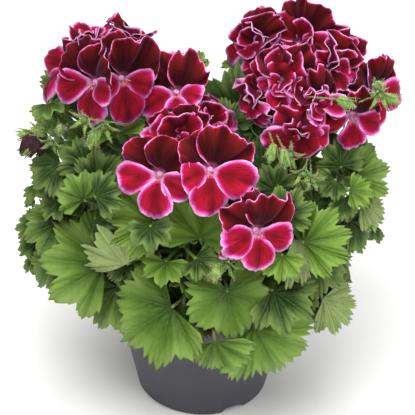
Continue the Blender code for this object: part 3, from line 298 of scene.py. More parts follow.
# The seed of all draws, and what each kind of leaf and of draw adds to it
SEED = 41
RING_LEAF, YOUNG_LEAF, GAP_LEAF = 100, 300, 1000
SOIL_DRAWS, BLOOM_DRAWS, STEM_DRAWS, BLADE_DRAWS, WHORL_DRAWS, PETAL_DRAWS = 77, 300, 500, 900, 2000, 7000

# How a leaf may be bent clear of others: moves in mm, tilts and turns in degrees, and sizes
SHIFTS = (0, 3, -3, 6, -6, 10, -10, 15, -15, 21)
TILTS = (0, 10, -10, 20, -20, 32)
TURNS = (0, 14, -14, 28, -28)
SCALES = (1, 0.9, 0.8, 0.68, 0.55)
# How far below the blade's base its stalk leaves the stem, in mm
STALK_HEIGHTS_BELOW = (22, 8, 34, -8, -22, 48)
# The way that buds and the leaves of the list slide
VIEW = Vector((0, -0.84, 0.54))

# Where each leaf stands clear of what grew before it: the rank of its bend by effort, its stem, and which
# of the stalk's heights, or None where there is no room. First the list's and the rings' leaves
LEAF_PLACES = (
    (0, 6, 0), (0, 6, 0), (0, 2, 0), (4, 2, 4), (1020, 2, 3), (4, 6, 3), (3, 6, 1), (0, 6, 0), (0, 2, 0),
    (0, 0, 0), (84, 6, 2), (0, 2, 0), (12, 2, 0), (4, 1, 0), (0, 1, 0), (0, 1, 0), (18, 1, 0), (102, 1, 2),
    (1, 1, 5), (1, 1, 5), (3, 1, 5), (89, 0, 5), (193, 0, 0), (23, 0, 0), (0, 3, 0), (0, 4, 5), (0, 4, 0),
    (739, 6, 0), (49, 0, 0), (2, 2, 0), (284, 0, 0), (5, 4, 0), (12, 4, 3), (36, 6, 0), (0, 4, 3),
    (0, 5, 0), (1, 5, 0), (0, 5, 0), (0, 5, 1), (0, 5, 0), (2, 5, 0), (1, 4, 2), (22, 5, 2), (0, 4, 0),
    (12, 2, 5), (224, 4, 0), (214, 5, 2), (49, 4, 5), (0, 4, 5), (190, 0, 1), (775, 0, 3), (0, 5, 0),
    (0, 5, 1), (0, 9, 0), (0, 8, 0), (0, 7, 0), (3, 7, 1), (34, 0, 3), (8, 5, 0), (3, 9, 0), (12, 9, 1),
    (9, 8, 0), (191, 7, 0), (0, 1, 0), None, (763, 9, 0), (22, 9, 2), (96, 7, 0), (3, 1, 0), None,
    (1, 9, 0), (312, 3, 2), (298, 0, 0), None, (193, 2, 0), (2, 4, 2), (224, 5, 0), (297, 5, 0),
    (128, 8, 0), (931, 7, 2), (223, 7, 0), (469, 1, 0), (22, 4, 1), (399, 3, 0), (36, 3, 0), (469, 3, 1),
    (364, 0, 0), (207, 2, 1),
)
YOUNG_PLACES = (
    (70, 4, 0), (6, 3, 1), (12, 0, 1), (4, 2, 0), (130, 3, 0), (70, 5, 4), (57, 4, 5), (122, 3, 5),
    (2, 9, 5), (35, 0, 5), (4, 0, 5), (1, 9, 0), (0, 7, 4), (120, 7, 1), (0, 3, 2), (89, 5, 1), (0, 0, 5),
    (0, 7, 1), (3, 1, 4), (13, 3, 0), (0, 3, 2), (5, 4, 2), (55, 5, 5), (0, 6, 1), (79, 9, 1), (58, 1, 1),
    (2, 3, 2), (23, 8, 0), (35, 9, 5), (47, 4, 3), None, None, (10, 3, 0), (64, 5, 0), (35, 3, 1),
    (89, 5, 3), (40, 8, 3), (89, 9, 1), (0, 8, 1), (3, 7, 3), (70, 8, 4), (3, 3, 4), (10, 0, 1), (99, 0, 3),
    None, None, None, None, None, (26, 4, 1), None, (17, 9, 1), (1, 9, 0), (0, 9, 0), (1, 9, 1), (41, 8, 0),
    (1, 8, 0), (128, 7, 1), (127, 3, 2), (83, 7, 3), (26, 2, 1), None, (144, 3, 1), None, None, None,
    (158, 6, 1), None, None, (34, 9, 1), None, (7, 8, 0), (47, 8, 0), None, (26, 7, 1), (23, 1, 0),
    (5, 0, 0), (12, 1, 0), None, (35, 3, 2), (35, 0, 0), None, (3, 6, 5), (3, 3, 2), (18, 5, 1), None,
    (49, 5, 0), None, None, (12, 7, 0), (95, 0, 5), None, None, (3, 0, 0), None, (138, 4, 2), (89, 2, 1),
    None, (97, 4, 1), None, None, None, None, (124, 1, 0), None, None, None, (4, 2, 0), None, None, None,
    (83, 4, 5), None, None, (12, 7, 1), (3, 1, 1), (13, 2, 1), None,
)

# Finer leaves: teeth on each lobe, rows from base to margin, and what the veins press into the blade
TEETH = 5
YOUNG_TEETH = 3
YOUNG_ROWS = (0.2, 0.45, 0.68, 0.86, 1.0)
YOUNG_SIZE = 19 * MM
TOOTH_DEPTH = 0.08
SIDE_FILL = 0.10
TOOTH_STANDS = 0.4
BLADE_ROWS = (0.10, 0.24, 0.38, 0.52, 0.66, 0.78, 0.87, 0.94, 1.0)
VEIN_WIDTH = 0.9 * MM
VEIN_VALLEY = 0.55 * MM
PUCKER = 0.5 * MM
PLEAT_RISE = 1.2 * MM
FLUTTER = 0.05
TIP_DROOP = 0.07
CRUMPLE = 1.6 * MM
CRUMPLE_SIZE = 14 * MM
# How fresh the leaves off the list are, kept low partly as painted shade to darken the plant's inner leaves
OTHER_FRESHNESS_AND_SHADE = (0.05, 0.5)
# How leaves settle beyond their solids: slide in mm, tilt and turn in degrees, size
SETTLED = {
    "front_right_fan": (0, 0, 22, 1.0), "front_left_big": (0, 0, 0, 0.9), "left_fan": (0, 0, 0, 0.9),
}
# The leaves that show their underside
TURNED_OVER = ("pale_back", "right_olive", "right_top_edge", "right_fold")

# Finer petals: places across and out, half the fan's angle, and how its margin rounds off
PETAL_ACROSS = (48, 48, 32, 32, 32)
PETAL_OUT = 12
# Inner petals of a double bloom: the petal each stands above and its whorl, and the whorls' sizes
INNER_PETALS = ((0, 1), (1, 1), (2, 1), (3, 1), (4, 1), (0, 2), (1, 2), (3, 2), (4, 2))
INNER_ACROSS = 24
INNER_OUT = 8
INNER_SIZES = ((0.62, 0.86), (0.42, 0.62))
DOUBLE_FROM = 0.6
FANS = (68, 68, 47, 50, 47)
FAN_ROUND = 3.0
FAN_END = 0.97
# Folds of the upper and lower petals: size, folds in a radian, and how late they grow
UPPER_FOLDS = ((0.13, 4.0, 2), (0.095, 9.0, 2), (0.060, 17, 3), (0.030, 27, 5))
LOWER_FOLDS = ((0.10, 4.0, 2), (0.055, 9.0, 3), (0.034, 18, 4), (0.016, 27, 5))
MARGIN_WAVES = ((0.035, 5.0), (0.024, 12.0), (0.014, 25.0), (0.008, 36.0))
LAYERS = (-1.2 * MM, -1.6 * MM, 0.0 * MM, 0.7 * MM, 1.5 * MM)
SLACK = (1.45, 1.45, 1.26, 1.26, 1.26)
UPPER_LONGER = 1.08
MOST_FRILL = 1.1
INNER_FRILL = 0.6
INNER_STEP = 2.6 * MM
# How unruly the petals of a bloom are, from 0 to 1; where none is given it is the last
UNRULY = {
    "centre_5": 0.3, "centre_2": 0.5, "left_1": 0.2, "left_2": 0.2, "centre_1": 0.55, "front_1": 0.15,
    "centre_3": 0.6, "far_right_1": 0.25, "far_right_2": 0.5, "right_6": 0.6, "left_4": 0.5, "left_5": 0.7,
}
MOST_UNRULY = 1.0
# How high a point lies in the folds is taken against this; from it the petals' material paints shade in the
# valleys and light on the ridges
FOLD_SHADE = 0.16
# The depth from the margin, in mm, over which a petal's colours run
DEEPEST = 8
# How bright a bloom's petals are, from 0 to 1; the others are dusky
BRIGHT = {"centre_5": 0.95, "centre_2": 0.8, "front_1": 0.75, "centre_1": 0.6, "centre_3": 0.6}
DUSKY = (0.0, 0.5)
STAMENS = 6
FILAMENT_RADIUS = 0.25 * MM
ANTHER_LENGTH = 1.6 * MM
ANTHER_RADIUS = 0.48 * MM
# An anther's rings: place along it and radius, against its length and radius
ANTHER = ((-0.5, 0.3), (-0.35, 0.8), (-0.1, 1), (0.2, 0.95), (0.4, 0.7), (0.5, 0.25))

# Finer stalks, sepals and buds
STEM_SIDES = 12
STALK_SIDES = 8
FINE_PEDICEL = 0.45 * MM
PEDICEL_ARCH = 0.05
PEDICEL_SAG = 0.35
BUD_SET_BACK = 0.22
SEPAL_WIDTH = 2.3 * MM
SEPAL_THICKNESS = 0.35 * MM
SEPAL_CUP = 0.18
SEPAL_TIP = 0.15 * MM
CALYX_RADIUS = 1.2 * MM
BUD_RIBS = 0.16
# A bud from foot to tip: share of its length, and radius in mm
BUD_PROFILE = (
    (0, 0.9), (0.05, 1.3), (0.15, 1.9), (0.3, 2.4), (0.45, 2.6), (0.6, 2.4), (0.75, 1.8), (0.88, 1.0),
    (1, 0.2),
)
# Hairs: radius in mm, how far apart, and the length of those on stems and pedicels against a bud's
HAIR_RADIUS = 0.07
HAIR_SPACING = 1.0 * MM
STEM_HAIR = 0.7
STEM_HAIR_SPACING = 1.6 * MM
SEPAL_HAIR_SPACING = 1.1 * MM
PEDICEL_HAIR = 0.6
# The bud of its stem, counted from 1, that shows its petals, and how far they stand out
OPEN_BUDS = (("front", 1),)
OPEN_BUD_LENGTH = 13 * MM
# Where the wilted petals hang, in mm, their length, and the thickness of these and of a bud's
WILTED = (-102, -24, 197)
WILTED_LENGTH = 17 * MM
LOOSE_PETAL = 0.35 * MM

# Finer pot and compost
FINE_POT_SEGMENTS = 160
FINE_EDGE = 0.5 * MM
# The compost's top: rings and points round, lumps (how many to a metre, height in mm), and crumbs:
# how many are tried, radius in mm, and room left round a stem's foot
SOIL_RINGS = 26
SOIL_AROUND = 96
LUMPS = ((120, 1.6), (420, 0.9))
CRUMBS = 420
CRUMB_RADIUS = (0.7, 1.9)
CRUMB_CLEAR = 6 * MM

# Young leaves in the gaps: share of the canopy's radii, elevation, leaves round, slope, radius in mm
YOUNG_RINGS = (
    (0.9, -8, 16, -30, 15),
    (0.88, 8, 18, -6, 16),
    (0.88, 24, 18, 8, 16),
    (0.84, 40, 14, 20, 16),
    (0.70, 16, 12, 20, 17),
    (0.68, 40, 10, 30, 16),
)
# The same in the gaps that the front shows: middle (x, y, z) in mm, azimuth it faces, radius in mm
GAP_LEAVES = (
    ((-6, -70, 131), -4, 17), ((38, -62, 116), 16, 17), ((-90, -25, 145), -50, 17),
    ((-36, -62, 150), -10, 17), ((30, -62, 186), 4, 15), ((68, -50, 92), 20, 15), ((22, 34, 220), 0, 15),
    ((64, -20, 220), 10, 14), ((78, -20, 194), 30, 14), ((-89, -24, 201), -20, 14),
    ((-96, -10, 206), -40, 15), ((102, -12, 125), 60, 13), ((-109, 10, 80), -60, 15),
    ((-110, 8, 95), -60, 17), ((86, 8, 154), 40, 17), ((86, 20, 146), 40, 16), ((-96, 10, 207), -40, 16),
    ((-102, 0, 143), -50, 16), ((-102, 14, 132), -50, 16), ((-87, 5, 182), -30, 15),
    ((-90, -12, 132), -30, 14), ((28, -10, 188), 0, 15), ((27, -8, 189), 0, 15), ((60, -55, 111), 30, 17),
    ((86, 12, 113), 50, 14), ((-97, 0, 191), -40, 15), ((-97, 12, 184), -40, 16), ((-84, 20, 195), -20, 16),
    ((70, -10, 178), 20, 14), ((77, -40, 98), 30, 14),
)

# The photo's view: where the camera aims, from how high and how far, and its lens on a 36 mm sensor
CAMERA_AIM = Vector((0.9 * MM, 0, 132.5 * MM))
CAMERA_ELEVATION = 33
CAMERA_DISTANCE = 1.2
CAMERA_LENS = 166.8
CAMERA_ROLL = -1.4
FLOOR_REACH = 4.0
FLOOR_LEVEL = -0.2 * MM
# The even surround's strength, and soft lights: place and size in metres, power in watts
SURROUND = 0.27
LIGHTS = (
    ("key_light", (-0.3, -0.75, 1.6), 1.3, 36),
    ("fill_light", (1.2, -0.9, 0.9), 1.2, 13),
    ("top_light", (0.2, 0.6, 1.6), 1.2, 12),
)


def direction(azimuth, elevation):
    """The unit vector that faces this way: azimuth 0 is the front, and 90 the right."""
    a, e = math.radians(azimuth), math.radians(elevation)
    return Vector((math.sin(a) * math.cos(e), -math.cos(a) * math.cos(e), math.sin(e)))


def mm(values):
    """A point given in millimetres, in metres."""
    return Vector(values) * MM


def smooth(share):
    """A share from 0 to 1, eased at both ends."""
    share = min(1, max(0, share))
    return share * share * (3 - 2 * share)


def bezier(a, b, c, d, share):
    """The point at this share of a cubic curve."""
    rest = 1 - share
    return a * rest**3 + b * 3 * rest**2 * share + c * 3 * rest * share**2 + d * share**3


def closed_rings(count, sides):
    """The faces of a closed tube made of rings of points."""
    faces = []
    for i in range(count - 1):
        for k in range(sides):
            a, b = i * sides + k, i * sides + (k + 1) % sides
            faces.append((a, b, b + sides, a + sides))
    last = (count - 1) * sides
    return [*faces, tuple(range(sides - 1, -1, -1)), tuple(range(last, last + sides))]


def tube(points, radii, sides):
    """A closed tube along the points: vertices and faces."""
    tangents = [
        (points[min(i + 1, len(points) - 1)] - points[max(i - 1, 0)]).normalized()
        for i in range(len(points))
    ]
    side = tangents[0].cross(Vector((0, 1, 0)))
    if side.length < 0.1:
        side = tangents[0].cross(Vector((1, 0, 0)))
    vertices = []
    for i, (point, tangent) in enumerate(zip(points, tangents)):
        side = (side - tangent * side.dot(tangent)).normalized()
        other = tangent.cross(side)
        for k in range(sides):
            turn = 2 * math.pi * k / sides
            vertices.append(point + (side * math.cos(turn) + other * math.sin(turn)) * radii[i])
    return vertices, closed_rings(len(points), sides)


class Leaf:
    """A blade: its base, the way it points and faces, its radius and its folds."""

    def __init__(self, base, axis, facing, radius, spread, cup, seed, name=None):
        draw = random.Random(seed)
        self.name = name
        self.seed = seed
        self.base = base
        self.axis = axis.normalized()
        self.normal = (facing - self.axis * facing.dot(self.axis)).normalized()
        self.slide = VIEW if name else self.normal
        self.radius = radius
        self.spread = math.radians(spread)
        self.cup = cup
        self.wave = draw.uniform(0.05, 0.10)
        self.phase = draw.uniform(0, 2 * math.pi)
        self.droop = draw.uniform(0.25, 0.65)

    def bent(self, shift, tilt, turn, scale):
        """A copy moved, tilted, turned and made smaller."""
        copy = object.__new__(Leaf)
        copy.__dict__.update(self.__dict__)
        side = self.axis.cross(self.normal)
        swing = Quaternion(side, math.radians(tilt)) @ Quaternion(self.normal, math.radians(turn))
        copy.axis = swing @ self.axis
        copy.normal = swing @ self.normal
        copy.base = self.base + self.slide * shift * MM
        copy.radius = self.radius * scale
        return copy

    def point(self, across, out):
        """A point of the blade: across runs 0 to 1 over the spread, and out from base to margin."""
        angle = (across - 0.5) * self.spread
        lobe = across * LEAF_LOBES
        from_tip = abs(2 * (lobe % 1) - 1) if across < 1 else 1
        reach = 1 - LOBE_NOTCH * from_tip**1.5
        reach *= 1 - SIDE_FALL * (2 * across - 1) ** 2
        distance = out * reach * self.radius
        x, y = distance * math.sin(angle), distance * math.cos(angle)
        lift = self.cup * out**2 + PLEAT * out * (2 * from_tip - 1)
        lift += self.wave * out**2 * math.sin(2 * angle + self.phase)
        bend = self.droop / self.radius
        z = lift * self.radius
        if y > 0:
            z -= (1 - math.cos(bend * y)) / bend
            y = math.sin(bend * y) / bend
        side = self.axis.cross(self.normal)
        return self.base + side * x + self.axis * y + self.normal * z


def pot_profile():
    """The pot's outline, from the middle of its underside round to the middle of its floor."""
    inner_foot = POT_FOOT_RADIUS - POT_WALL
    return (
        (0, 0),
        (POT_PAD_RADIUS, 0),
        (POT_PAD_RADIUS + 1.5 * MM, POT_RECESS),
        (POT_FOOT_RADIUS - FOOT_RING_WIDTH - 1 * MM, POT_RECESS),
        (POT_FOOT_RADIUS - FOOT_RING_WIDTH, 0),
        (POT_FOOT_RADIUS - 1.5 * MM, 0),
        (POT_FOOT_RADIUS, 1.5 * MM),
        (POT_NECK_RADIUS, POT_NECK_HEIGHT),
        (POT_RIM_RADIUS, POT_NECK_HEIGHT + 0.8 * MM),
        (POT_RIM_RADIUS + 0.3 * MM, POT_HEIGHT - 1 * MM),
        (POT_RIM_RADIUS - 0.5 * MM, POT_HEIGHT),
        (POT_NECK_RADIUS + 0.5 * MM, POT_HEIGHT),
        (POT_NECK_RADIUS - POT_WALL + LIP_FLARE, POT_HEIGHT - LIP_DEPTH),
        (inner_foot, POT_FLOOR_TOP),
        (0, POT_FLOOR_TOP),
    )


def wall_radius(height):
    """The radius of the pot's inner wall at this height."""
    share = (height - POT_FLOOR_TOP) / (POT_HEIGHT - LIP_DEPTH - POT_FLOOR_TOP)
    foot = POT_FOOT_RADIUS - POT_WALL
    top = POT_NECK_RADIUS - POT_WALL + LIP_FLARE
    return foot + (top - foot) * share


def linked(name, mesh, collection):
    """An object made of this working mesh, its faces turned outwards, in the collection."""
    bmesh.ops.recalc_face_normals(mesh, faces=mesh.faces)
    data = bpy.data.meshes.new(name)
    mesh.to_mesh(data)
    mesh.free()
    made = bpy.data.objects.new(name, data)
    collection.objects.link(made)
    return made


def turned(name, profile, segments):
    """A closed solid turned from a profile that starts and ends on the axis."""
    mesh = bmesh.new()
    rings = []
    for radius, height in profile:
        ring = []
        for k in range(segments if radius else 1):
            turn = 2 * math.pi * k / segments
            ring.append(mesh.verts.new((radius * math.cos(turn), radius * math.sin(turn), height)))
        rings.append(ring)
    for low, high in zip(rings, rings[1:]):
        for k in range(segments):
            after = (k + 1) % segments
            corners = [low[k % len(low)], low[after % len(low)]]
            corners += [high[after % len(high)], high[k % len(high)]]
            mesh.faces.new(list(dict.fromkeys(corners)))
    return linked(name, mesh, bpy.context.scene.collection)


def cut(target, parts):
    """Cuts the parts, each vertices and faces, from the target."""
    group = bpy.data.collections.new(target.name + "_parts")
    bpy.context.scene.collection.children.link(group)
    for i, (vertices, faces) in enumerate(parts):
        mesh = bmesh.new()
        corners = [mesh.verts.new(vertex) for vertex in vertices]
        for face in faces:
            mesh.faces.new([corners[k] for k in face])
        linked(f"{target.name}_{i}", mesh, group)
    modifier = target.modifiers.new("cut", "BOOLEAN")
    modifier.operation = "DIFFERENCE"
    modifier.operand_type = "COLLECTION"
    modifier.collection = group
    modifier.solver = "MANIFOLD"
    bpy.context.view_layer.update()
    evaluated = target.evaluated_get(bpy.context.evaluated_depsgraph_get())
    target.data = bpy.data.meshes.new_from_object(evaluated)
    target.modifiers.clear()
    for piece in list(group.objects):
        bpy.data.objects.remove(piece)
    bpy.data.collections.remove(group)


def head_of(stem):
    """The top of the stem, where its flower stalks part."""
    return mm(STEMS[stem][2])


def stem_points(name):
    """The stem's centreline from the bottom of its hole to its head."""
    (x, y), _, head = STEMS[name]
    foot = Vector((x * MM, y * MM, HOLE_BOTTOM + GAP))
    leave = Vector((foot.x, foot.y, SOIL_TOP + 6 * MM))
    head = mm(head)
    rise = head.z - leave.z
    pull_low = leave + UP * rise * 0.45
    arrive = Vector((head.x - leave.x, head.y - leave.y, rise * 1.6)).normalized()
    pull_high = head - arrive * rise * 0.35
    steps = STEM_RINGS - 2
    return [foot] + [bezier(leave, pull_low, pull_high, head, i / steps) for i in range(steps + 1)]


def stem_at(name, height):
    """The point of the stem's centreline at this height."""
    points = stem_points(name)
    for a, b in zip(points, points[1:]):
        if b.z >= height:
            return a + (b - a) * ((height - a.z) / (b.z - a.z))
    return points[-1]


def bloom_frame(facing, roll):
    """The bloom's right, up and forward axes."""
    forward = facing.normalized()
    right = UP.cross(forward) * -1
    if right.length < 0.05:
        right = Vector((1, 0, 0))
    right.normalize()
    up = right.cross(forward) * -1
    if up.z < 0:
        up = -up
    turn = Quaternion(forward, math.radians(roll))
    return turn @ right, turn @ up, forward


class Bloom:
    """Five petals round a throat, kept inside the room that its neighbours leave."""

    def __init__(self, name):
        self.name = name
        self.stem, throat, azimuth, elevation, roll, length = BLOOMS[name]
        self.throat = mm(throat)
        self.right, self.up, self.forward = bloom_frame(direction(azimuth, elevation), roll)
        self.length = length * MM
        self.centre = self.throat + self.forward * BLOOM_DEPTH
        self.seed = sorted(BLOOMS).index(name) + SEED
        self.neighbours = []

    def find_neighbours(self, blooms):
        """Notes the way to each near bloom, and how far this one may reach towards it."""
        for other in blooms:
            apart = other.centre - self.centre
            if other is not self and apart.length < NEIGHBOUR_REACH:
                self.neighbours.append((apart.normalized(), apart.length / 2 - BLOOM_CLEARANCE))

    def room(self, way):
        """How far the bloom may reach from its centre in this direction."""
        return min(
            (limit / way.dot(other) for other, limit in self.neighbours if way.dot(other) > 0.05),
            default=1.0,
        )

    def pressed(self, point, slack):
        """The point, drawn in where it nears the middle between two blooms; slack lets them lap."""
        offset = point - self.centre
        way = offset.normalized()
        limit = self.room(way) * slack
        over = offset.length / limit - PRESS_START
        if over > 0:
            spare = 1 - PRESS_START
            point = self.centre + way * limit * (PRESS_START + spare * (1 - math.exp(-over / spare)))
        return point

    def around(self, angle):
        """The direction at this angle round the throat, clockwise from the bloom's up."""
        turn = math.radians(angle)
        return self.up * math.cos(turn) + self.right * math.sin(turn)

    def petal_frame(self, petal):
        """A petal's own axes (radial, side, along and face), its length and half width."""
        angle, length_share, width_share, opening, _ = PETALS[petal]
        draw = random.Random(self.seed * 10 + petal)
        angle += draw.uniform(-2, 2)
        opening += draw.uniform(-2, 2)
        # A draw without use: it keeps the later ones what they are
        draw.random()
        length = self.length * length_share * draw.uniform(0.95, 1.04)
        radial, side = self.around(angle), self.around(angle + 90)
        tip = radial * math.sin(math.radians(opening)) + self.forward * math.cos(math.radians(opening))
        reach = self.throat + tip * length - self.centre
        crowd = min(1, self.room(reach.normalized()) / reach.length)
        half = self.length * width_share / 2 * (0.45 + 0.55 * crowd)
        length *= 0.5 + 0.5 * crowd
        tilt = math.radians(opening * (0.5 + 0.5 * crowd))
        along = radial * math.sin(tilt) + self.forward * math.cos(tilt)
        face = self.forward * math.sin(tilt) - radial * math.cos(tilt)
        return radial, side, along, face, length, half


def pedicel_points(start, end, forward, bow):
    """The centreline of a slim stalk from a head, arriving along the way that it faces."""
    pull = (end - start).length * 0.4
    side = forward.cross(UP)
    leave = start + (end - start) * 0.3 + (side * bow[0] + UP * bow[1]) * pull
    return [bezier(start, leave, end - forward * pull, end, share) for share in (0, 0.5, 1)]


def petiole_points(stem, height, leaf):
    """The leaf stalk's centreline, from inside the stem to the base of the blade."""
    start = stem_at(stem, height)
    span = (leaf.base - start).length
    out = leaf.base - start
    out.z = 0
    out.normalize()
    arrive = (leaf.axis * 0.5 + leaf.normal * 0.75 + UP * 0.15).normalized()
    leave = start + (out * 0.35 + UP * 0.35) * span
    near = leaf.base - arrive * span * 0.35
    return [bezier(start, leave, near, leaf.base, s / PETIOLE_STEPS) for s in range(PETIOLE_STEPS + 1)]


def ring_leaves(rings, first, stray, draw):
    """Leaves on rings round the canopy: middle, the way each points and faces, and size."""
    azimuths, elevations, around, up, higher, sizes = stray
    for ring, (shell, elevation, count, slope, radius) in enumerate(rings):
        for k in range(count):
            azimuth = first + 360 * (k + 0.5 * (ring % 2)) / count + draw.uniform(-azimuths, azimuths)
            rise = elevation + draw.uniform(-elevations, elevations)
            way = direction(azimuth, rise)
            middle = CANOPY_CENTRE + Vector([way[i] * CANOPY_RADII[i] * shell for i in range(3)])
            axis = direction(azimuth + draw.uniform(-around, around), slope + draw.uniform(-up, up))
            facing = direction(azimuth + draw.uniform(-20, 20), min(80, rise + higher))
            yield middle, axis, facing, radius * MM * draw.uniform(*sizes)


def canopy_leaves(taken):
    """The leaves of the rings, left out where a leaf of the list already is."""
    draw = random.Random(SEED)
    leaves = []
    for middle, axis, facing, size in ring_leaves(CANOPY_RINGS, FIRST_CANOPY_AZIMUTH, CANOPY_STRAY, draw):
        cup = draw.uniform(-0.10, 0.12)
        spread = draw.choice((200, 225, 250, 285))
        if all((middle - other).length >= CANOPY_APART for other in taken):
            base = middle - axis * size * BLADE_MIDDLE
            leaves.append(Leaf(base, axis, facing, size, spread, cup, SEED + RING_LEAF + len(leaves)))
    return leaves


def listed_leaves():
    """The leaves of the list, in its order."""
    leaves = []
    for i, (name, (base, tip, azimuth, elevation, spread, cup, _)) in enumerate(LEAVES.items()):
        axis, facing = mm(tip) - mm(base), direction(azimuth, elevation)
        leaves.append(Leaf(mm(base), axis, facing, axis.length, spread, cup, SEED + i, name))
    return leaves


def young_leaves():
    """Small leaves for the gaps, too small to be in the solids."""
    leaves = []
    for middle, azimuth, radius in GAP_LEAVES:
        draw = random.Random(SEED + middle[0] + 1000 * middle[2])
        axis = direction(azimuth + draw.uniform(-70, 70), draw.uniform(-50, 30))
        facing = direction(azimuth + draw.uniform(-15, 15), draw.uniform(25, 50))
        size = radius * MM
        base = mm(middle) - axis * size * BLADE_MIDDLE
        leaves.append(Leaf(base, axis, facing, size, 215, draw.uniform(0, 0.15), SEED + GAP_LEAF + middle[2]))
    draw = random.Random(SEED + 1)
    for middle, axis, facing, size in ring_leaves(YOUNG_RINGS, 0, YOUNG_STRAY, draw):
        base = middle - axis * size * BLADE_MIDDLE
        spread, cup = draw.choice((190, 215, 240)), draw.uniform(-0.05, 0.2)
        leaves.append(Leaf(base, axis, facing, size, spread, cup, SEED + YOUNG_LEAF + len(leaves)))
    return leaves


def effort(bend):
    """How far a bend takes a leaf from its place."""
    shift, tilt, turn, scale = bend
    return abs(shift) * 0.10 + abs(tilt) * 0.08 + abs(turn) * 0.06 + (1 - scale) * 7


@functools.cache
def grown():
    """The blooms, and for each stem the kind and make of what it carries."""
    blooms = [Bloom(name) for name in BLOOMS]
    made = {name: [] for name in STEMS}
    for bloom in blooms:
        bloom.find_neighbours(blooms)
        forward = bloom.forward
        at = bloom.throat - forward * (GAP + PETAL_THICKNESS / 2)
        bow = BOWS.get(bloom.name, BOW)
        points = pedicel_points(head_of(bloom.stem), at - forward * CALYX_DEPTH, forward, bow)
        reach = SEPAL_REACH * (SMALL_CALYX if bloom.name in SMALL_CALYCES else 1)
        made[bloom.stem].append(("calyx", (points, at, forward, reach)))
    for stem, at, azimuth, elevation, kind, slide, bow in BUDS:
        forward = direction(azimuth, elevation)
        end = mm(at) + VIEW * slide * MM
        foot = end - forward * CALYX_DEPTH if kind == "calyx" else end
        reach = (STAR_REACH,) if kind == "calyx" else ()
        points = pedicel_points(head_of(stem), foot, forward, bow)
        made[stem].append((kind, (points, end, forward, *reach)))
    bends = sorted(itertools.product(SHIFTS, TILTS, TURNS, SCALES), key=effort)
    leaves = listed_leaves()
    leaves += canopy_leaves([leaf.base + leaf.axis * leaf.radius * BLADE_MIDDLE for leaf in leaves])
    for leaf, place in zip(leaves + young_leaves(), LEAF_PLACES + YOUNG_PLACES):
        if place is None:
            continue
        stem = list(STEMS)[place[1]]
        bent = leaf.bent(*bends[place[0]])
        height = max(bent.base.z - STALK_HEIGHTS_BELOW[place[2]] * MM, SOIL_TOP + 8 * MM)
        points = petiole_points(stem, min(height, STEMS[stem][1] * MM), bent)
        if leaf.name in SETTLED:
            bent = bent.bent(*SETTLED[leaf.name])
        made[stem].append(("leaf", (bent, points)))
    return blooms, made


def linear(code):
    """An sRGB hex colour in linear light."""
    shares = [int(code[i : i + 2], 16) / 255 for i in (0, 2, 4)]
    return [s / 12.92 if s <= 0.04045 else ((s + 0.055) / 1.055) ** 2.4 for s in shares]


def colour(name, code, description):
    """A colour that a user may change."""
    return FloatVectorProperty(
        name=name, description=description, subtype="COLOR", size=3, min=0, max=1, default=linear(code)
    )


class PetalSettings(bpy.types.PropertyGroup):
    """Colours and sizes of the petals."""

    rim: colour("Rim", "EDB4DC", "The pale line along the margin")
    band: colour("Band", "C2307F", "The magenta band inside the rim")
    field: colour("Field", "9A1428", "The crimson of the blade")
    blotch: colour("Blotch", "280808", "The dark blotch and veins")
    throat: colour("Throat", "D9A2C6", "The pale throat")
    back: colour("Back", "7E1F48", "The outside of the petals")
    anther: colour("Anther", "A83418", "The pollen sacs")
    thickness: FloatProperty(
        name="Thickness", description="Thickness of a petal", default=0.35 * MM, min=0.1 * MM,
        subtype="DISTANCE", unit="LENGTH",
    )
    ruffle: FloatProperty(
        name="Ruffle", description="How strongly the margins ruffle", default=1, min=0, max=2,
        subtype="FACTOR",
    )


class FoliageSettings(bpy.types.PropertyGroup):
    """Colours and sizes of the leaves, stems and buds."""

    # The old leaf's dark green also serves as painted shade: in the creases, round the middle of each blade,
    # and on leaves deep in the plant
    old: colour("Old leaf", "193404", "Upper side of an old leaf")
    young: colour("Young leaf", "6A8E28", "Upper side of a young leaf")
    under: colour("Underside", "8BA05E", "Underside of a leaf")
    stalk: colour("Stalk", "6F8C42", "Stems, leaf stalks and pedicels")
    sepal: colour("Sepal", "5F8436", "Calyces and buds")
    thickness: FloatProperty(
        name="Thickness", description="Thickness of a blade", default=0.5 * MM, min=0.1 * MM,
        subtype="DISTANCE", unit="LENGTH",
    )
    hair: FloatProperty(
        name="Hair", description="Length of the hairs on buds and stalks", default=1.5 * MM, min=0,
        subtype="DISTANCE", unit="LENGTH",
    )


class PotSettings(bpy.types.PropertyGroup):
    """Colours of the pot, the compost and the floor."""

    plastic: colour("Plastic", "3A3944", "The pot")
    peat: colour("Peat", "2B1D14", "The compost")
    floor: colour("Floor", "F4F4F2", "The floor round the pot")
    segments: IntProperty(
        name="Segments", description="Faces round the pot", default=FINE_POT_SEGMENTS, min=24
    )


class PelargoniumSettings(bpy.types.PropertyGroup):
    """Everything that can be set."""

    petals: PointerProperty(type=PetalSettings)
    foliage: PointerProperty(type=FoliageSettings)
    pot: PointerProperty(type=PotSettings)


EASED = {"interpolation_type": "SMOOTHSTEP"}
RGBA = {"data_type": "RGBA"}


def tint(base, strength=1):
    """A colour, in sRGB hex or in linear light, made weaker or stronger, as sockets take it."""
    shares = linear(base) if isinstance(base, str) else base[:3]
    return (*[share * strength for share in shares], 1)


def feed(node, inputs):
    """Gives inputs of a node, by name or number, a value or a link from a socket or another node."""
    for key, value in inputs.items():
        if isinstance(value, bpy.types.Node):
            value = next(socket for socket in value.outputs if socket.enabled)
        if isinstance(value, bpy.types.NodeSocket):
            node.id_data.links.new(value, node.inputs[key])
        else:
            node.inputs[key].default_value = value


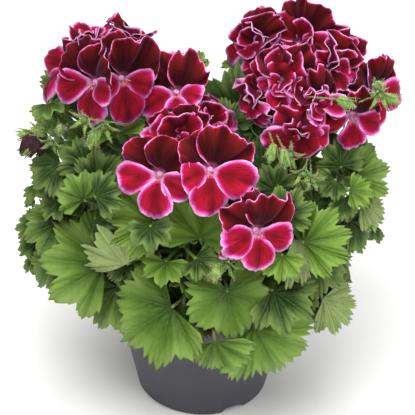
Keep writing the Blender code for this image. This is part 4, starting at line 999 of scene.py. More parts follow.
def add_node(tree, kind, *inputs, stops=(), **settings):
    """Adds a node with its settings; inputs are in their order, or one dict by name or number."""
    node = tree.nodes.new("ShaderNode" + kind)
    for name, value in settings.items():
        setattr(node, name, value)
    named = inputs and isinstance(inputs[0], dict)
    feed(node, inputs[0] if named else dict(enumerate(inputs)))
    for i, (place, base) in enumerate(stops):
        ramp = node.color_ramp.elements
        stop = ramp[i] if i < 2 else ramp.new(place)
        stop.position = place
        stop.color = tint(base)
    return node


def new_material(name, roughness, specular=0.5, **sockets):
    """A material, its Principled shader, and what adds a node to it."""
    made = bpy.data.materials.new(name)
    made.use_nodes = True
    shader = made.node_tree.nodes["Principled BSDF"]
    feed(shader, {"Roughness": roughness, "Specular IOR Level": specular})
    feed(shader, {socket.replace("_", " "): value for socket, value in sockets.items()})
    return made, shader, functools.partial(add_node, made.node_tree)


def grained(name, roughness, specular, size, detail, stops, relief, **sockets):
    """A material whose colour and relief follow one soft pattern: also where it is, and its colour."""
    made, shader, node = new_material(name, roughness, specular, **sockets)
    where = node("TexCoord").outputs["Object"]
    grain = node("TexNoise", {"Vector": where, "Scale": 1 / size, "Detail": detail})
    face = node("ValToRGB", grain, stops=stops)
    feed(shader, {"Base Color": face})
    if relief:
        feed(shader, {"Normal": node("Bump", {"Height": grain, "Distance": relief})})
    return made, shader, node, where, face


@functools.cache
def petal_material():
    """Living petal, inside: a velvety skin of raised cells, so it is soft with a faint sheen.

    The colour goes from a dark blotch with veins through crimson and magenta to a pale rim.
    The folds carry painted shade in their valleys and painted light on their ridges.
    """
    petals = bpy.context.scene.pelargonium.petals
    made, shader, node = new_material(
        "petal_velvet_inside", 0.75, 0.04, Sheen_Weight=0.2, Sheen_Roughness=0.4, Sheen_Tint=tint("F0A8DC")
    )
    out, across, inward = node("SeparateColor", node("Attribute", attribute_name="petal")).outputs
    upper, tone, height = node("SeparateColor", node("Attribute", attribute_name="bloom")).outputs
    where = node("TexCoord").outputs["Object"]
    # Fine waver of the rim, about 1.5 mm long
    waver = node("TexNoise", {"Vector": where, "Scale": 1 / (1.5 * MM), "Detail": 2})
    near = node("Math", waver, 0.09, inward, operation="MULTIPLY_ADD")
    # The colours run into each other in strokes that follow the veins, which fan out from the claw:
    # long in the way out and narrow across
    fan = node("VectorMath", node("CombineXYZ", across, out, tone), (26, 2.2, 60), operation="MULTIPLY")
    streaks = node("TexNoise", {"Vector": fan, "Scale": 1, "Detail": 3, "Distortion": 0.3})
    near = node("Math", streaks, 0.16, near, operation="MULTIPLY_ADD")
    near = node("Math", near, 0.125, operation="SUBTRACT")
    # The upper petals' pale rim is a third as wide as the lower ones'
    depth = node("Math", near, node("MapRange", upper, 0, 1, 0.66, 2.1), operation="MULTIPLY")
    depth = node("Math", upper, 0.04, depth, operation="MULTIPLY_ADD")
    # Share of 8 mm from the margin inward
    bands = node("ValToRGB", depth, stops=(
        (0.0, petals.rim), (0.9, tint(petals.field, 0.6)), (0.06, "DD8CC6"), (0.14, petals.band),
        (0.22, "96123A"), (0.34, petals.field),
    ))
    # The upper petals are browner
    brown = node("Math", node("MapRange", depth, 0.16, 0.4, 0, 0.65), upper, operation="MULTIPLY")
    bands = node("Mix", {0: brown, 6: bands, 7: tint("5E1614")}, **RGBA)
    vein = node("MapRange", streaks, 0.5, 0.66, **EASED)
    veil = node("MapRange", depth, 0.12, 0.5, **EASED)
    veined = node("Math", vein, veil, operation="MULTIPLY")
    veined = node("Math", veined, 0.72, operation="MULTIPLY")
    # The blotch fills most of an upper petal, and the middle of a lower one
    side = node("Math", node("Math", across, 0.5, operation="SUBTRACT"), operation="ABSOLUTE")
    middle = node("MapRange", side, 0.42, 0.12, **EASED)
    above = node("MapRange", out, 1.05, 0.45, 0.2, 1, **EASED)
    below = node("MapRange", out, 0.8, 0.42, 0, 0.62, **EASED)
    low = node("Math", below, middle, operation="MULTIPLY")
    dark = node("Math", node("Mix", {0: upper, 2: low, 3: above}), veil, operation="MULTIPLY")
    mottle = node("MapRange", streaks, 0.3, 0.7, 0.7, 1.1)
    dark = node("Math", dark, mottle, operation="MULTIPLY")
    dark = node("Math", dark, veined, operation="MAXIMUM", use_clamp=True)
    # Painted shade: the folds are darker in their valleys
    painted_valley_shade = node("Math", node("MapRange", height, 0.55, 0.2, 0, 0.6), veil, operation="MULTIPLY")
    dark = node("Math", dark, painted_valley_shade, operation="MAXIMUM")
    face = node("Mix", {0: dark, 6: bands, 7: tint(petals.blotch)}, **RGBA)
    # Pale throat with dark lines, faint in the upper petals
    claw = node("MapRange", out, 0.2, 0.05, **EASED)
    claw = node("Math", claw, node("MapRange", vein, 0, 1, 1, 0.35), operation="MULTIPLY")
    claw = node("Math", claw, node("MapRange", upper, 0, 1, 1, 0.3), operation="MULTIPLY")
    face = node("Mix", {0: claw, 6: face, 7: tint(petals.throat)}, **RGBA)
    # Painted light and shade: the folds' ridges are lighter and their valleys darker; a dusky bloom is darker
    # all over
    painted_fold_light = node("MapRange", height, 0.1, 0.9, 0.72, 1.3)
    bright = node("Math", node("MapRange", tone, 0, 1, 0.62, 1.12), painted_fold_light, operation="MULTIPLY")
    face = node("HueSaturation", {"Color": face, "Value": bright})
    # Raised cells about 0.4 mm across, drawn larger than life so that they show, and the veins' furrows
    cells = node("TexVoronoi", {"Vector": where, "Scale": 1 / (0.4 * MM)})
    relief = node("Math", streaks, 2, cells, operation="MULTIPLY_ADD")
    bump = node("Bump", {"Height": relief, "Distance": 0.12 * MM, "Strength": 0.6})
    feed(shader, {"Base Color": face, "Normal": bump})
    return made


@functools.cache
def petal_back_material():
    """Living petal, outside: paler and more purple than the inside, with the veins showing through."""
    petals = bpy.context.scene.pelargonium.petals
    made, shader, node = new_material("petal_satin_outside", 0.6, 0.1)
    out, across, inward = node("SeparateColor", node("Attribute", attribute_name="petal")).outputs
    fan = node("VectorMath", node("CombineXYZ", across, out), (30, 2, 1), operation="MULTIPLY")
    streaks = node("TexNoise", {"Vector": fan, "Scale": 1, "Detail": 2})
    dark = node("MapRange", streaks, 0.45, 0.7, 0, 0.6)
    face = node("Mix", {0: dark, 6: tint(petals.back), 7: tint(petals.blotch)}, **RGBA)
    edge = node("MapRange", inward, 0.22, 0.02, 0, 0.75, **EASED)
    face = node("Mix", {0: edge, 6: face, 7: tint(petals.rim)}, **RGBA)
    bump = node("Bump", {"Height": streaks, "Distance": 0.2 * MM, "Strength": 0.5})
    feed(shader, {"Base Color": face, "Normal": bump})
    return made


@functools.cache
def filament_material():
    """Stamen filament: smooth, watery and pale pink."""
    made, shader, node = new_material("filament_waxy", 0.35)
    tone = node("TexNoise", {"Scale": 1 / (2 * MM)})
    feed(shader, {"Base Color": node("ValToRGB", tone, stops=((0.35, "E7B4CE"), (0.65, "C56A98")))})
    return made


@functools.cache
def anther_material():
    """Anther: a pollen sac, rough with grains of orange-red pollen."""
    made, shader, node = new_material("anther_pollen", 0.85)
    # Pollen grains are 0.06 mm, drawn at 0.3 mm so that they show
    grains = node("TexVoronoi", {"Vector": node("TexCoord").outputs["Object"], "Scale": 1 / (0.3 * MM)})
    anther = bpy.context.scene.pelargonium.petals.anther
    face = node("ValToRGB", grains, stops=((0.1, "C85A2A"), (0.7, anther)))
    feed(shader, {"Base Color": face, "Normal": node("Bump", {"Height": grains, "Distance": 0.15 * MM})})
    return made


@functools.cache
def leaf_material():
    """Pelargonium leaf, upper side: matt and softly hairy, puckered between sunken veins.

    The veins are drawn from the way off the lobe's middle and the way out along it, both in cm.
    """
    foliage = bpy.context.scene.pelargonium.foliage
    made, shader, node = new_material("leaf_blade_upper", 0.45, 0.22)
    freshness_and_painted_light, out, _ = node("SeparateColor", node("Attribute", attribute_name="blade")).outputs
    off, along, _ = node("SeparateXYZ", node("UVMap", uv_map="veins")).outputs
    where = node("TexCoord").outputs["Object"]
    # Main vein of the lobe, 1 mm wide at the base and a third of that at the margin
    main = node("MapRange", off, node("MapRange", out, 0, 1, 0.1, 0.03), 0, 0, 1, **EASED)
    # Side veins leave it every 5 mm at about 30 degrees
    drift = node("TexNoise", {"Vector": where, "Scale": 1 / (7 * MM), "Detail": 1})
    slant = node("Math", off, -1.8, along, operation="MULTIPLY_ADD")
    slant = node("Math", drift, 0.35, slant, operation="MULTIPLY_ADD")
    comb = node("Math", slant, 0.25, operation="PINGPONG")
    ribs = node("MapRange", comb, 0.06, 0, 0, 1, **EASED)
    ribs = node("Math", ribs, node("MapRange", off, 0.02, 0.14), operation="MULTIPLY")
    # Net of the finest veins, 1.6 mm across
    net = node("TexVoronoi", {"Vector": where, "Scale": 1 / (1.6 * MM)}, feature="DISTANCE_TO_EDGE")
    net = node("MapRange", net, 0.12, 0, 0, 1)
    # Colour: fresh at the margin and darker round the middle, that darkening a painted shade, mottled in
    # patches of 6 mm; the leaf's freshness also carries painted light and shade
    patches = node("TexNoise", {"Vector": where, "Scale": 1 / (6 * MM), "Detail": 4})
    green = node("Math", patches, 0.42, freshness_and_painted_light, operation="MULTIPLY_ADD")
    # Painted shade: darker towards the middle of the blade
    rise = node("MapRange", out, 0.1, 0.95, -0.75, -0.08)
    green = node("Math", green, rise, operation="ADD", use_clamp=True)
    face = node("Mix", {0: green, 6: tint(foliage.old), 7: tint(foliage.young)}, **RGBA)
    # The margin is paler and greyer: a painted sheen
    grey = node("MapRange", out, 0.5, 1, 0, 0.34, **EASED)
    face = node("Mix", {0: grey, 6: face, 7: tint(foliage.under)}, **RGBA)
    # Painted shade darkens the creases beside the veins, and the veins themselves are paler
    painted_crease_shade = node("MapRange", off, 0.2, 0.05, 0, 0.2, **EASED)
    face = node("Mix", {0: painted_crease_shade, 6: face, 7: tint(foliage.old, 0.55)}, **RGBA)
    lines = node("Math", ribs, 0.06, operation="MULTIPLY")
    lines = node("Math", main, 0.22, lines, operation="MULTIPLY_ADD")
    lines = node("Math", net, 0.1, lines, operation="MULTIPLY_ADD", use_clamp=True)
    pale = [(a + b) / 2 for a, b in zip(foliage.young, foliage.under)]
    face = node("Mix", {0: lines, 6: face, 7: tint(pale)}, **RGBA)
    # Relief: sunken side veins with puckered skin between, and the finest net
    relief = node("Math", net, -0.25, node("MapRange", comb, 0, 0.25, **EASED), operation="MULTIPLY_ADD")
    relief = node("Math", patches, 0.8, relief, operation="MULTIPLY_ADD")
    bump = node("Bump", {"Height": relief, "Distance": 0.4 * MM, "Strength": 0.4})
    rough = node("MapRange", patches, 0, 1, 0.42, 0.6)
    feed(shader, {"Base Color": face, "Normal": bump, "Roughness": rough})
    return made


@functools.cache
def leaf_under_material():
    """Pelargonium leaf, underside: pale grey-green and downy, with raised paler veins."""
    under = bpy.context.scene.pelargonium.foliage.under
    made, shader, node, _, face = grained(
        "leaf_blade_underside", 0.65, 0.3, 5 * MM, 4, ((0.3, tint(under, 0.72)), (0.7, under)), 0,
        Sheen_Weight=0.2,
    )
    off, along, _ = node("SeparateXYZ", node("UVMap", uv_map="veins")).outputs
    main = node("MapRange", off, 0.09, 0.01, **EASED)
    slant = node("Math", off, -1.05, along, operation="MULTIPLY_ADD")
    ribs = node("MapRange", node("Math", slant, 0.225, operation="PINGPONG"), 0.05, 0, **EASED)
    veins = node("Math", ribs, 0.3, main, operation="MULTIPLY_ADD", use_clamp=True)
    faint = node("Math", veins, 0.4, operation="MULTIPLY")
    face = node("Mix", {0: faint, 6: face, 7: tint("B4C48A")}, **RGBA)
    feed(shader, {"Base Color": face, "Normal": node("Bump", {"Height": veins, "Distance": 0.5 * MM})})
    return made


@functools.cache
def stalk_material():
    """Living stem: soft light green skin, mottled."""
    stalk = bpy.context.scene.pelargonium.foliage.stalk
    made, shader, node, where, green = grained(
        "stem_skin_green", 0.5, 0.5, 4 * MM, 3, ((0.35, tint(stalk, 0.7)), (0.65, stalk)), 0.3 * MM
    )
    # Old wood at the foot of the stems is brownish
    height = node("SeparateXYZ", where).outputs[2]
    wood = node("MapRange", height, 0.125, 0.095, **EASED)
    feed(shader, {"Base Color": node("Mix", {0: wood, 6: green, 7: tint("5E5234")}, **RGBA)})
    return made


@functools.cache
def sepal_material():
    """Sepal: green and downy, flushed red towards its tip."""
    sepal_green = bpy.context.scene.pelargonium.foliage.sepal
    made, shader, node, _, face = grained(
        "sepal_downy", 0.6, 0.25, 3 * MM, 3, ((0.3, tint(sepal_green, 0.7)), (0.7, "8FAE52")), 0.3 * MM,
        Sheen_Weight=0.1,
    )
    out = node("SeparateColor", node("Attribute", attribute_name="blade")).outputs[1]
    tip = node("MapRange", out, 0.55, 0.95, 0, 0.6, **EASED)
    feed(shader, {"Base Color": node("Mix", {0: tip, 6: face, 7: tint("7A3A34")}, **RGBA)})
    return made


@functools.cache
def hair_material():
    """Plant hair: clear and glossy, so it catches the light as a pale fuzz."""
    made, shader, node = new_material("plant_hair_clear", 0.3)
    tone = node("TexNoise", {"Scale": 1 / (5 * MM)})
    feed(shader, {"Base Color": node("ValToRGB", tone, stops=((0.3, "C9D6A4"), (0.7, "E6EBD0")))})
    return made


@functools.cache
def wilted_material():
    """Wilted petal: dry and thin, near black with a maroon sheen."""
    stops = ((0.35, "1E0A10"), (0.7, "4A1424"))
    return grained("petal_wilted_dry", 0.6, 0.3, 2 * MM, 4, stops, 0.6 * MM)[0]


@functools.cache
def plastic_material():
    """Recycled polypropylene, injection moulded: matt bluish grey with a faint grain and flow lines."""
    pot = bpy.context.scene.pelargonium.pot
    made, shader, node = new_material("polypropylene_moulded_matt", 0.48)
    where = node("TexCoord").outputs["Object"]
    # Flow lines run up the wall, 9 mm apart and blurred
    flow = node("Mapping", {0: where, 3: (1, 1, 0.12)})
    lines = node("TexNoise", {"Vector": flow, "Scale": 1 / (9 * MM), "Detail": 3})
    face = node("ValToRGB", lines, stops=((0.3, tint(pot.plastic, 0.86)), (0.7, tint(pot.plastic, 1.08))))
    # Dust of compost below the rim
    height = node("SeparateXYZ", where).outputs[2]
    specks = node("TexNoise", {"Vector": where, "Scale": 1 / (1.2 * MM), "Detail": 4})
    dust = node("MapRange", specks, 0.62, 0.72, 0, 0.5)
    dust = node("Math", dust, node("MapRange", height, 0.085, 0.1), operation="MULTIPLY")
    face = node("Mix", {0: dust, 6: face, 7: tint(pot.peat)}, **RGBA)
    # Spark-eroded grain of the mould, 0.25 mm, drawn at 0.6 mm so that it shows
    grain = node("TexNoise", {"Vector": where, "Scale": 1 / (0.6 * MM), "Detail": 2})
    bump = node("Bump", {"Height": grain, "Distance": 0.05 * MM, "Strength": 0.5})
    rough = node("MapRange", lines, 0, 1, 0.42, 0.56)
    feed(shader, {"Base Color": face, "Normal": bump, "Roughness": rough})
    return made


@functools.cache
def peat_material():
    """Moist peat compost: dark brown crumbs and fibres with a few pale specks of bark."""
    peat = bpy.context.scene.pelargonium.pot.peat
    made, shader, node = new_material("peat_moist_crumbs", 0.9, 0.25)
    where = node("TexCoord").outputs["Object"]
    crumbs = node("TexVoronoi", {"Vector": where, "Scale": 1 / (2.2 * MM)})
    fibres = node("TexNoise", {"Vector": where, "Scale": 1 / (0.9 * MM), "Detail": 6})
    face = node("ValToRGB", fibres, stops=((0.3, tint(peat, 0.45)), (0.8, "7A5A3C"), (0.6, peat)))
    relief = node("Math", fibres, 0.7, crumbs, operation="MULTIPLY_ADD")
    feed(shader, {"Base Color": face, "Normal": node("Bump", {"Height": relief, "Distance": 1.2 * MM})})
    return made


@functools.cache
def floor_material():
    """Smooth matt card in a photo studio: pale and even, with the faintest tooth."""
    card = bpy.context.scene.pelargonium.pot.floor
    made, shader, node = new_material("card_matt_pale", 0.9, 0.2)
    tooth = node("TexNoise", {"Vector": node("TexCoord").outputs["Object"], "Scale": 1 / (3 * MM)})
    feed(shader, {"Base Color": node("ValToRGB", tooth, stops=((0.2, tint(card, 0.985)), (0.8, card)))})
    return made


class Surface:
    """Vertices, faces and what they carry, gathered for one piece."""

    def __init__(self):
        self.vertices = []
        self.faces = []
        self.slots = []
        self.charts = {}

    def add(self, vertices, faces, slot, **charts):
        """Adds a part in one material; charts are values for each of its vertices."""
        first = len(self.vertices)
        self.vertices += vertices
        self.faces += [tuple(first + i for i in face) for face in faces]
        self.slots += [slot] * len(faces) if isinstance(slot, int) else slot
        for name, values in charts.items():
            self.charts.setdefault(name, {}).update({first + i: v for i, v in enumerate(values)})

    def make(self, name, materials, node):
        """The piece itself: it rides on the root and stands for its node."""
        data = bpy.data.meshes.new(name)
        data.from_pydata([tuple(v) for v in self.vertices], [], self.faces)
        data.polygons.foreach_set("material_index", self.slots)
        for chart, values in self.charts.items():
            flat = chart == "veins"
            cells = np.zeros((len(self.vertices), 2 if flat else 4))
            cells[list(values), : 2 if flat else 3] = list(values.values())
            if flat:
                corners = np.empty(len(data.loops), dtype=np.int32)
                data.loops.foreach_get("vertex_index", corners)
                data.uv_layers.new(name=chart).data.foreach_set("uv", cells[corners].ravel())
            else:
                layer = data.color_attributes.new(chart, "FLOAT_COLOR", "POINT")
                layer.data.foreach_set("color", cells.ravel())
        for made in materials:
            data.materials.append(made())
        data.shade_smooth()
        data.validate()
        piece = bpy.data.objects.new(name, data)
        bpy.context.scene.collection.objects.link(piece)
        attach(piece, "root")
        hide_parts(node)
        return piece


# Places of the materials on a leafy stem and on a bloom
STALK, UPPER_SIDE, UNDER_SIDE, SEPAL, HAIR, SHRIVELLED, BUD_PETAL, BUD_BACK = range(8)
INSIDE, OUTSIDE, FILAMENT, POLLEN = range(4)


def facing_out(vertices, faces):
    """The faces, turned over if the closed shape they make is inside out."""
    volume = 0
    for face in faces:
        for i in range(1, len(face) - 1):
            a, b, c = vertices[face[0]], vertices[face[i]], vertices[face[i + 1]]
            volume += a.dot(b.cross(c))
    return faces if volume > 0 else [tuple(reversed(face)) for face in faces]


def sheet_grid(rows, thickness):
    """A closed thin sheet from rows of points: vertices, faces, and which side each face is on.

    The front is the side that rows going out and points going clockwise turn towards.
    """
    count, across = len(rows), len(rows[0])
    points = np.array([[tuple(p) for p in row] for row in rows])
    out = np.gradient(points, axis=0)
    over = np.gradient(points, axis=1)
    normals = np.cross(over, out)
    normals /= np.maximum(np.linalg.norm(normals, axis=2, keepdims=True), 1e-12)
    front = (points + normals * thickness / 2).reshape(-1, 3)
    back = (points - normals * thickness / 2).reshape(-1, 3)
    vertices = [Vector(v) for v in front] + [Vector(v) for v in back]
    faces, sides = [], []
    shift = count * across
    for i in range(count - 1):
        for k in range(across - 1):
            a, b = i * across + k, i * across + k + 1
            c, d = b + across, a + across
            faces += [(a, b, c, d), (a + shift, d + shift, c + shift, b + shift)]
            sides += [0, 1]
    ring = list(range(across))
    ring += [i * across + across - 1 for i in range(1, count)]
    ring += [(count - 1) * across + k for k in range(across - 2, -1, -1)]
    ring += [i * across for i in range(count - 2, 0, -1)]
    for a, b in zip(ring, ring[1:] + ring[:1]):
        faces.append((b, a, a + shift, b + shift))
        sides.append(0)
    return vertices, faces, sides


def fine_tube(points, radii, sides):
    """A round stalk along many points, with closed ends."""
    vertices, faces = tube(points, radii, sides)
    return vertices, facing_out(vertices, faces)


def tooth_marks(draw, teeth):
    """Places across the margin from 0 to 1, and how far each stands out: the teeth of all lobes."""
    marks = []
    for lobe in range(LEAF_LOBES):
        ends = [0] + [(j + draw.uniform(-0.22, 0.22)) / teeth for j in range(1, teeth)] + [1]
        for j, (start, end) in enumerate(zip(ends, ends[1:])):
            lean = 0.5 + 0.22 * (1 if j < teeth // 2 else -1 if j > teeth // 2 else 0)
            deep = draw.uniform(0.35, 1.5) * (1.5 if j == teeth // 2 else 1)
            tip = start + (end - start) * lean
            places = (start, (start + tip) / 2, tip, (tip + end) / 2)
            for place, stands in zip(places, (0, 0.42, 1, 0.42)):
                marks.append(((lobe + place) / LEAF_LOBES, deep * (stands - 1 + TOOTH_STANDS)))
    return marks + [(1.0, marks[0][1])]


def fine_blade(leaf, thickness):
    """A toothed, veined and puckered blade: vertices, faces, sides, and its charts."""
    draw = random.Random(leaf.seed + BLADE_DRAWS)
    young = leaf.radius < YOUNG_SIZE
    marks = tooth_marks(draw, YOUNG_TEETH if young else TEETH)
    rows, veins, tones = [], [], []
    # How fresh the green is: partly the leaf's age, partly painted light and shade
    freshness_and_painted_light = LEAVES[leaf.name][-1] if leaf.name else draw.uniform(*OTHER_FRESHNESS_AND_SHADE)
    swell = draw.uniform(0, 6)
    depth = TOOTH_DEPTH * leaf.radius
    waves, keel = draw.uniform(0.9, 1.5), draw.uniform(-0.12, 0.22)
    for out in (0.02, *(YOUNG_ROWS if young else BLADE_ROWS)):
        row = []
        for across, stands in marks:
            lobe = across * LEAF_LOBES
            off_tip = abs((lobe % 1) - 0.5) if across < 1 else 0.5
            width = leaf.spread / LEAF_LOBES * out * leaf.radius
            off = off_tip * width
            point = leaf.point(across, out)
            way = (point - leaf.base).normalized()
            fill = SIDE_FILL * (2 * across - 1) ** 2
            point += way * (depth * stands * smooth((out - 0.62) / 0.38) + fill * leaf.radius * out)
            sunk = VEIN_VALLEY * (1 - 0.6 * out) * math.exp(-((off / VEIN_WIDTH) ** 2))
            pucker = PUCKER * math.sin(9 * out + swell + 3 * off_tip) * math.sin(4 * math.pi * off_tip)
            flutter = FLUTTER * leaf.radius * out**2 * math.sin(waves * math.pi * lobe + swell)
            flutter += keel * leaf.radius * out * abs(across - 0.5)
            flutter -= TIP_DROOP * leaf.radius * out**4 * (1 - 2 * off_tip)
            flutter += CRUMPLE * out * noise.noise(point / CRUMPLE_SIZE)
            edge = PLEAT_RISE * smooth((out - 0.3) / 0.7) * stands
            row.append(point + leaf.normal * (pucker * out + flutter - sunk * smooth(out * 8) + edge))
            veins.append((off / MM / 10, out * leaf.radius / MM / 10))
            tones.append((freshness_and_painted_light, out, off_tip * 2))
        rows.append(row)
    return *sheet_grid(rows, thickness), veins * 2, tones * 2


def fine_petiole(stalk):
    """The leaf's stalk with many rings, from inside the stem to the base of the blade, slimmer towards the
    blade.
    """
    line = curve_through(stalk, 4)
    radii = [PETIOLE_RADIUS * (1.15 - 0.25 * i / (len(line) - 1)) for i in range(len(line))]
    return fine_tube(line, radii, STALK_SIDES)


def curve_through(points, steps):
    """More points on a smooth curve through the given ones."""
    line = []
    for i in range(len(points) - 1):
        a = points[max(i - 1, 0)]
        b, c = points[i], points[i + 1]
        d = points[min(i + 2, len(points) - 1)]
        square, cube = 2 * a - 5 * b + 4 * c - d, 3 * b - a - 3 * c + d
        for step in range(steps):
            t = step / steps
            line.append((2 * b + (c - a) * t + square * t**2 + cube * t**3) / 2)
    return line + [points[-1]]


def hairs(surface, points, radii, length, draw, spacing=HAIR_SPACING):
    """Fine hairs that stand out from a stalk or bud, each a slim three-sided spike."""
    for i in range(len(points) - 1):
        a, b = points[i], points[i + 1]
        tangent = (b - a).normalized()
        side = tangent.orthogonal().normalized()
        count = int((b - a).length * 2 * math.pi * radii[i] / spacing**2) + 1
        for _ in range(count):
            way = Quaternion(tangent, draw.uniform(0, 2 * math.pi)) @ side
            share = draw.random()
            root = a.lerp(b, share) + way * (radii[i] * (1 - share) + radii[i + 1] * share) * 0.95
            lean = (way + tangent * draw.uniform(-0.1, 0.6)).normalized()
            tip = root + lean * length * draw.uniform(0.6, 1.1)
            foot = lean.orthogonal().normalized() * HAIR_RADIUS * MM
            base = [root + Quaternion(lean, k * 2 * math.pi / 3) @ foot for k in range(3)]
            surface.add([*base, tip], [(0, 1, 3), (1, 2, 3), (2, 0, 3)], HAIR)


def sepal(surface, at, forward, way, reach, back, draw):
    """One pointed sepal, cupped along its middle, from the calyx's foot to its tip."""
    side = forward.cross(way).normalized()
    rows = []
    for i in range(8):
        share = i / 7
        centre = at + forward * (-CALYX_DEPTH * (1 - smooth(share * 1.6)) - back * share**2)
        centre += way * (CALYX_RADIUS + (reach - CALYX_RADIUS) * share**1.1)
        width = SEPAL_WIDTH * math.sin(math.pi * (0.16 + 0.84 * share) ** 0.8) * (1 - 0.2 * share)
        width += SEPAL_TIP
        rows.append([
            centre + side * width * k / 4 + forward * SEPAL_CUP * width * abs(k / 2) ** 2
            for k in (-2, -1, 0, 1, 2)
        ])
    vertices, faces, _ = sheet_grid(rows, SEPAL_THICKNESS)
    tones = [(0, i / 7, 0) for i in range(8) for _ in range(5)]
    surface.add(vertices, faces, SEPAL, blade=tones * 2)
    edge = [row[0] for row in rows] + [row[-1] for row in reversed(rows)]
    length = bpy.context.scene.pelargonium.foliage.hair
    hairs(surface, edge, [0.2 * MM] * len(edge), length, draw, SEPAL_HAIR_SPACING)


def arched(points, back):
    """A smooth line through a pedicel's three points, its middle set back towards the plant's axis.

    Its middle rises a little, or sags where its end stands as high as the head.
    """
    level = smooth((points[2].z - points[0].z) / (20 * MM) + 1)
    inward = -Vector((points[2].x, points[2].y, 0)).normalized()
    shift = UP * (PEDICEL_ARCH - PEDICEL_SAG * level) + inward * back
    return curve_through([points[0], points[1] + shift * (points[2] - points[0]).length, points[2]], 6)


def pedicel_radii(count):
    """The radii along a pedicel, slimmest in its middle."""
    return [FINE_PEDICEL * (1.2 - 0.3 * math.sin(math.pi * i / count)) for i in range(count)]


def fine_calyx(surface, points, at, forward, reach, draw):
    """A pedicel with a calyx of five hairy sepals."""
    line = arched(points, 0 if reach < STAR_REACH else BUD_SET_BACK)
    line.append(at - forward * 1.2 * MM)
    radii = pedicel_radii(len(line))
    radii[-2:] = [PEDICEL_RADIUS * 1.3, PEDICEL_RADIUS * 1.7]
    surface.add(*fine_tube(line, radii, STALK_SIDES), STALK)
    length = bpy.context.scene.pelargonium.foliage.hair
    hairs(surface, line[8:], radii[8:], length * PEDICEL_HAIR, draw)
    first = forward.orthogonal().normalized()
    back = 1.5 * MM if reach < STAR_REACH else draw.uniform(-4, 2) * MM
    for k in range(5):
        way = Quaternion(forward, math.radians(72 * k + draw.uniform(-6, 6))) @ first
        size = reach * draw.uniform(0.92, 1.05)
        sepal(surface, at - forward * 0.4 * MM, forward, way, size, back, draw)


def fine_bud(surface, points, at, forward, draw):
    """A pedicel with a closed bud: five ribbed sepals that meet in a point."""
    line = arched(points, BUD_SET_BACK)
    radii = pedicel_radii(len(line))
    surface.add(*fine_tube(line, radii, STALK_SIDES), STALK)
    side = forward.orthogonal().normalized()
    sides, vertices = 20, []
    for share, radius in BUD_PROFILE:
        for k in range(sides):
            turn = 2 * math.pi * k / sides
            rib = 1 + BUD_RIBS * math.cos(5 * turn)
            way = Quaternion(forward, turn) @ side
            vertices.append(at + forward * BUD_LENGTH * share + way * radius * MM * 0.95 * rib)
    surface.add(vertices, facing_out(vertices, closed_rings(len(BUD_PROFILE), sides)), SEPAL)
    length = bpy.context.scene.pelargonium.foliage.hair
    spine = [at + forward * BUD_LENGTH * share for share, _ in BUD_PROFILE]
    hairs(surface, spine, [radius * MM for _, radius in BUD_PROFILE], length, draw)
    hairs(surface, line[8:], radii[8:], length * PEDICEL_HAIR, draw)
    for k in range(5):
        way = Quaternion(forward, math.radians(72 * k + draw.uniform(-15, 15))) @ side
        reach = draw.uniform(3.4, 6) * MM
        sepal(surface, at + forward * 3.2 * MM, forward, way, reach, draw.uniform(-8, -5) * MM, draw)


def bud_petals(surface, at, forward, draw):
    """Crimson petals, still rolled round each other, that push out of an opening bud."""
    side = forward.orthogonal().normalized()
    columns, steps = 16, 10
    for k in range(3):
        first, size = 120 * k + draw.uniform(-15, 15), draw.uniform(0.85, 1.1)
        rows, charts = [], []
        for i in range(steps + 1):
            share = i / steps
            row = []
            for j in range(columns + 1):
                across = 2 * j / columns - 1
                turn = math.radians(first + 95 * across)
                radius = 1.4 + 2.3 * math.sin(2.1 * share) + 0.5 * k + 0.5 * across
                radius = (radius + 0.5 * share**3 * math.sin(9 * across + k)) * MM
                reach = OPEN_BUD_LENGTH * size * share * (1 - 0.25 * across**2)
                way = Quaternion(forward, turn) @ side
                row.append(at + forward * (reach + 2 * MM) + way * radius)
                depth = min(1 - abs(across), 1.2 * (1 - share))
                charts.append((0.3 + 0.6 * share, j / columns, depth))
            rows.append(row)
        vertices, faces, sides = sheet_grid(rows, LOOSE_PETAL)
        front, back = vertices[len(vertices) // 4], vertices[3 * len(vertices) // 4]
        outside = (front - back).dot(front - at - forward * (front - at).dot(forward)) > 0
        slots = [BUD_BACK if bool(each) != outside else BUD_PETAL for each in sides]
        surface.add(vertices, faces, slots, petal=charts * 2, bloom=[(0, 0.5, 0.5)] * len(vertices))


def wilted_petals(surface, at, draw):
    """Three shrivelled petals that hang from a spent bloom."""
    for k in range(3):
        way = Vector((draw.uniform(-0.5, 0.3), draw.uniform(-0.4, 0.2), -1)).normalized()
        side = way.cross(Vector((0, 1, 0))).normalized()
        out = side.cross(way)
        start = at + side * (k - 1) * 2.2 * MM
        rows = []
        for i in range(10):
            share = i / 9
            width = (0.4 + 3.4 * math.sin(math.pi * (0.08 + 0.9 * share)) ** 0.8) * MM
            row = []
            for j in range(7):
                x = (j / 3 - 1) * width
                crumple = 1.3 * MM * math.sin(5 * share + 2.4 * j + k)
                row.append(start + way * WILTED_LENGTH * share + side * x + out * crumple * share)
            rows.append(row)
        vertices, faces, _ = sheet_grid(rows, LOOSE_PETAL)
        surface.add(vertices, faces, SHRIVELLED)


def bracts(surface, head, draw):
    """Small pointed bracts round the head, where its pedicels part."""
    for k in range(6):
        way = direction(60 * k + draw.uniform(-12, 12), -18)
        sepal(surface, head, UP, way, 6.5 * MM, 1.0 * MM, draw)


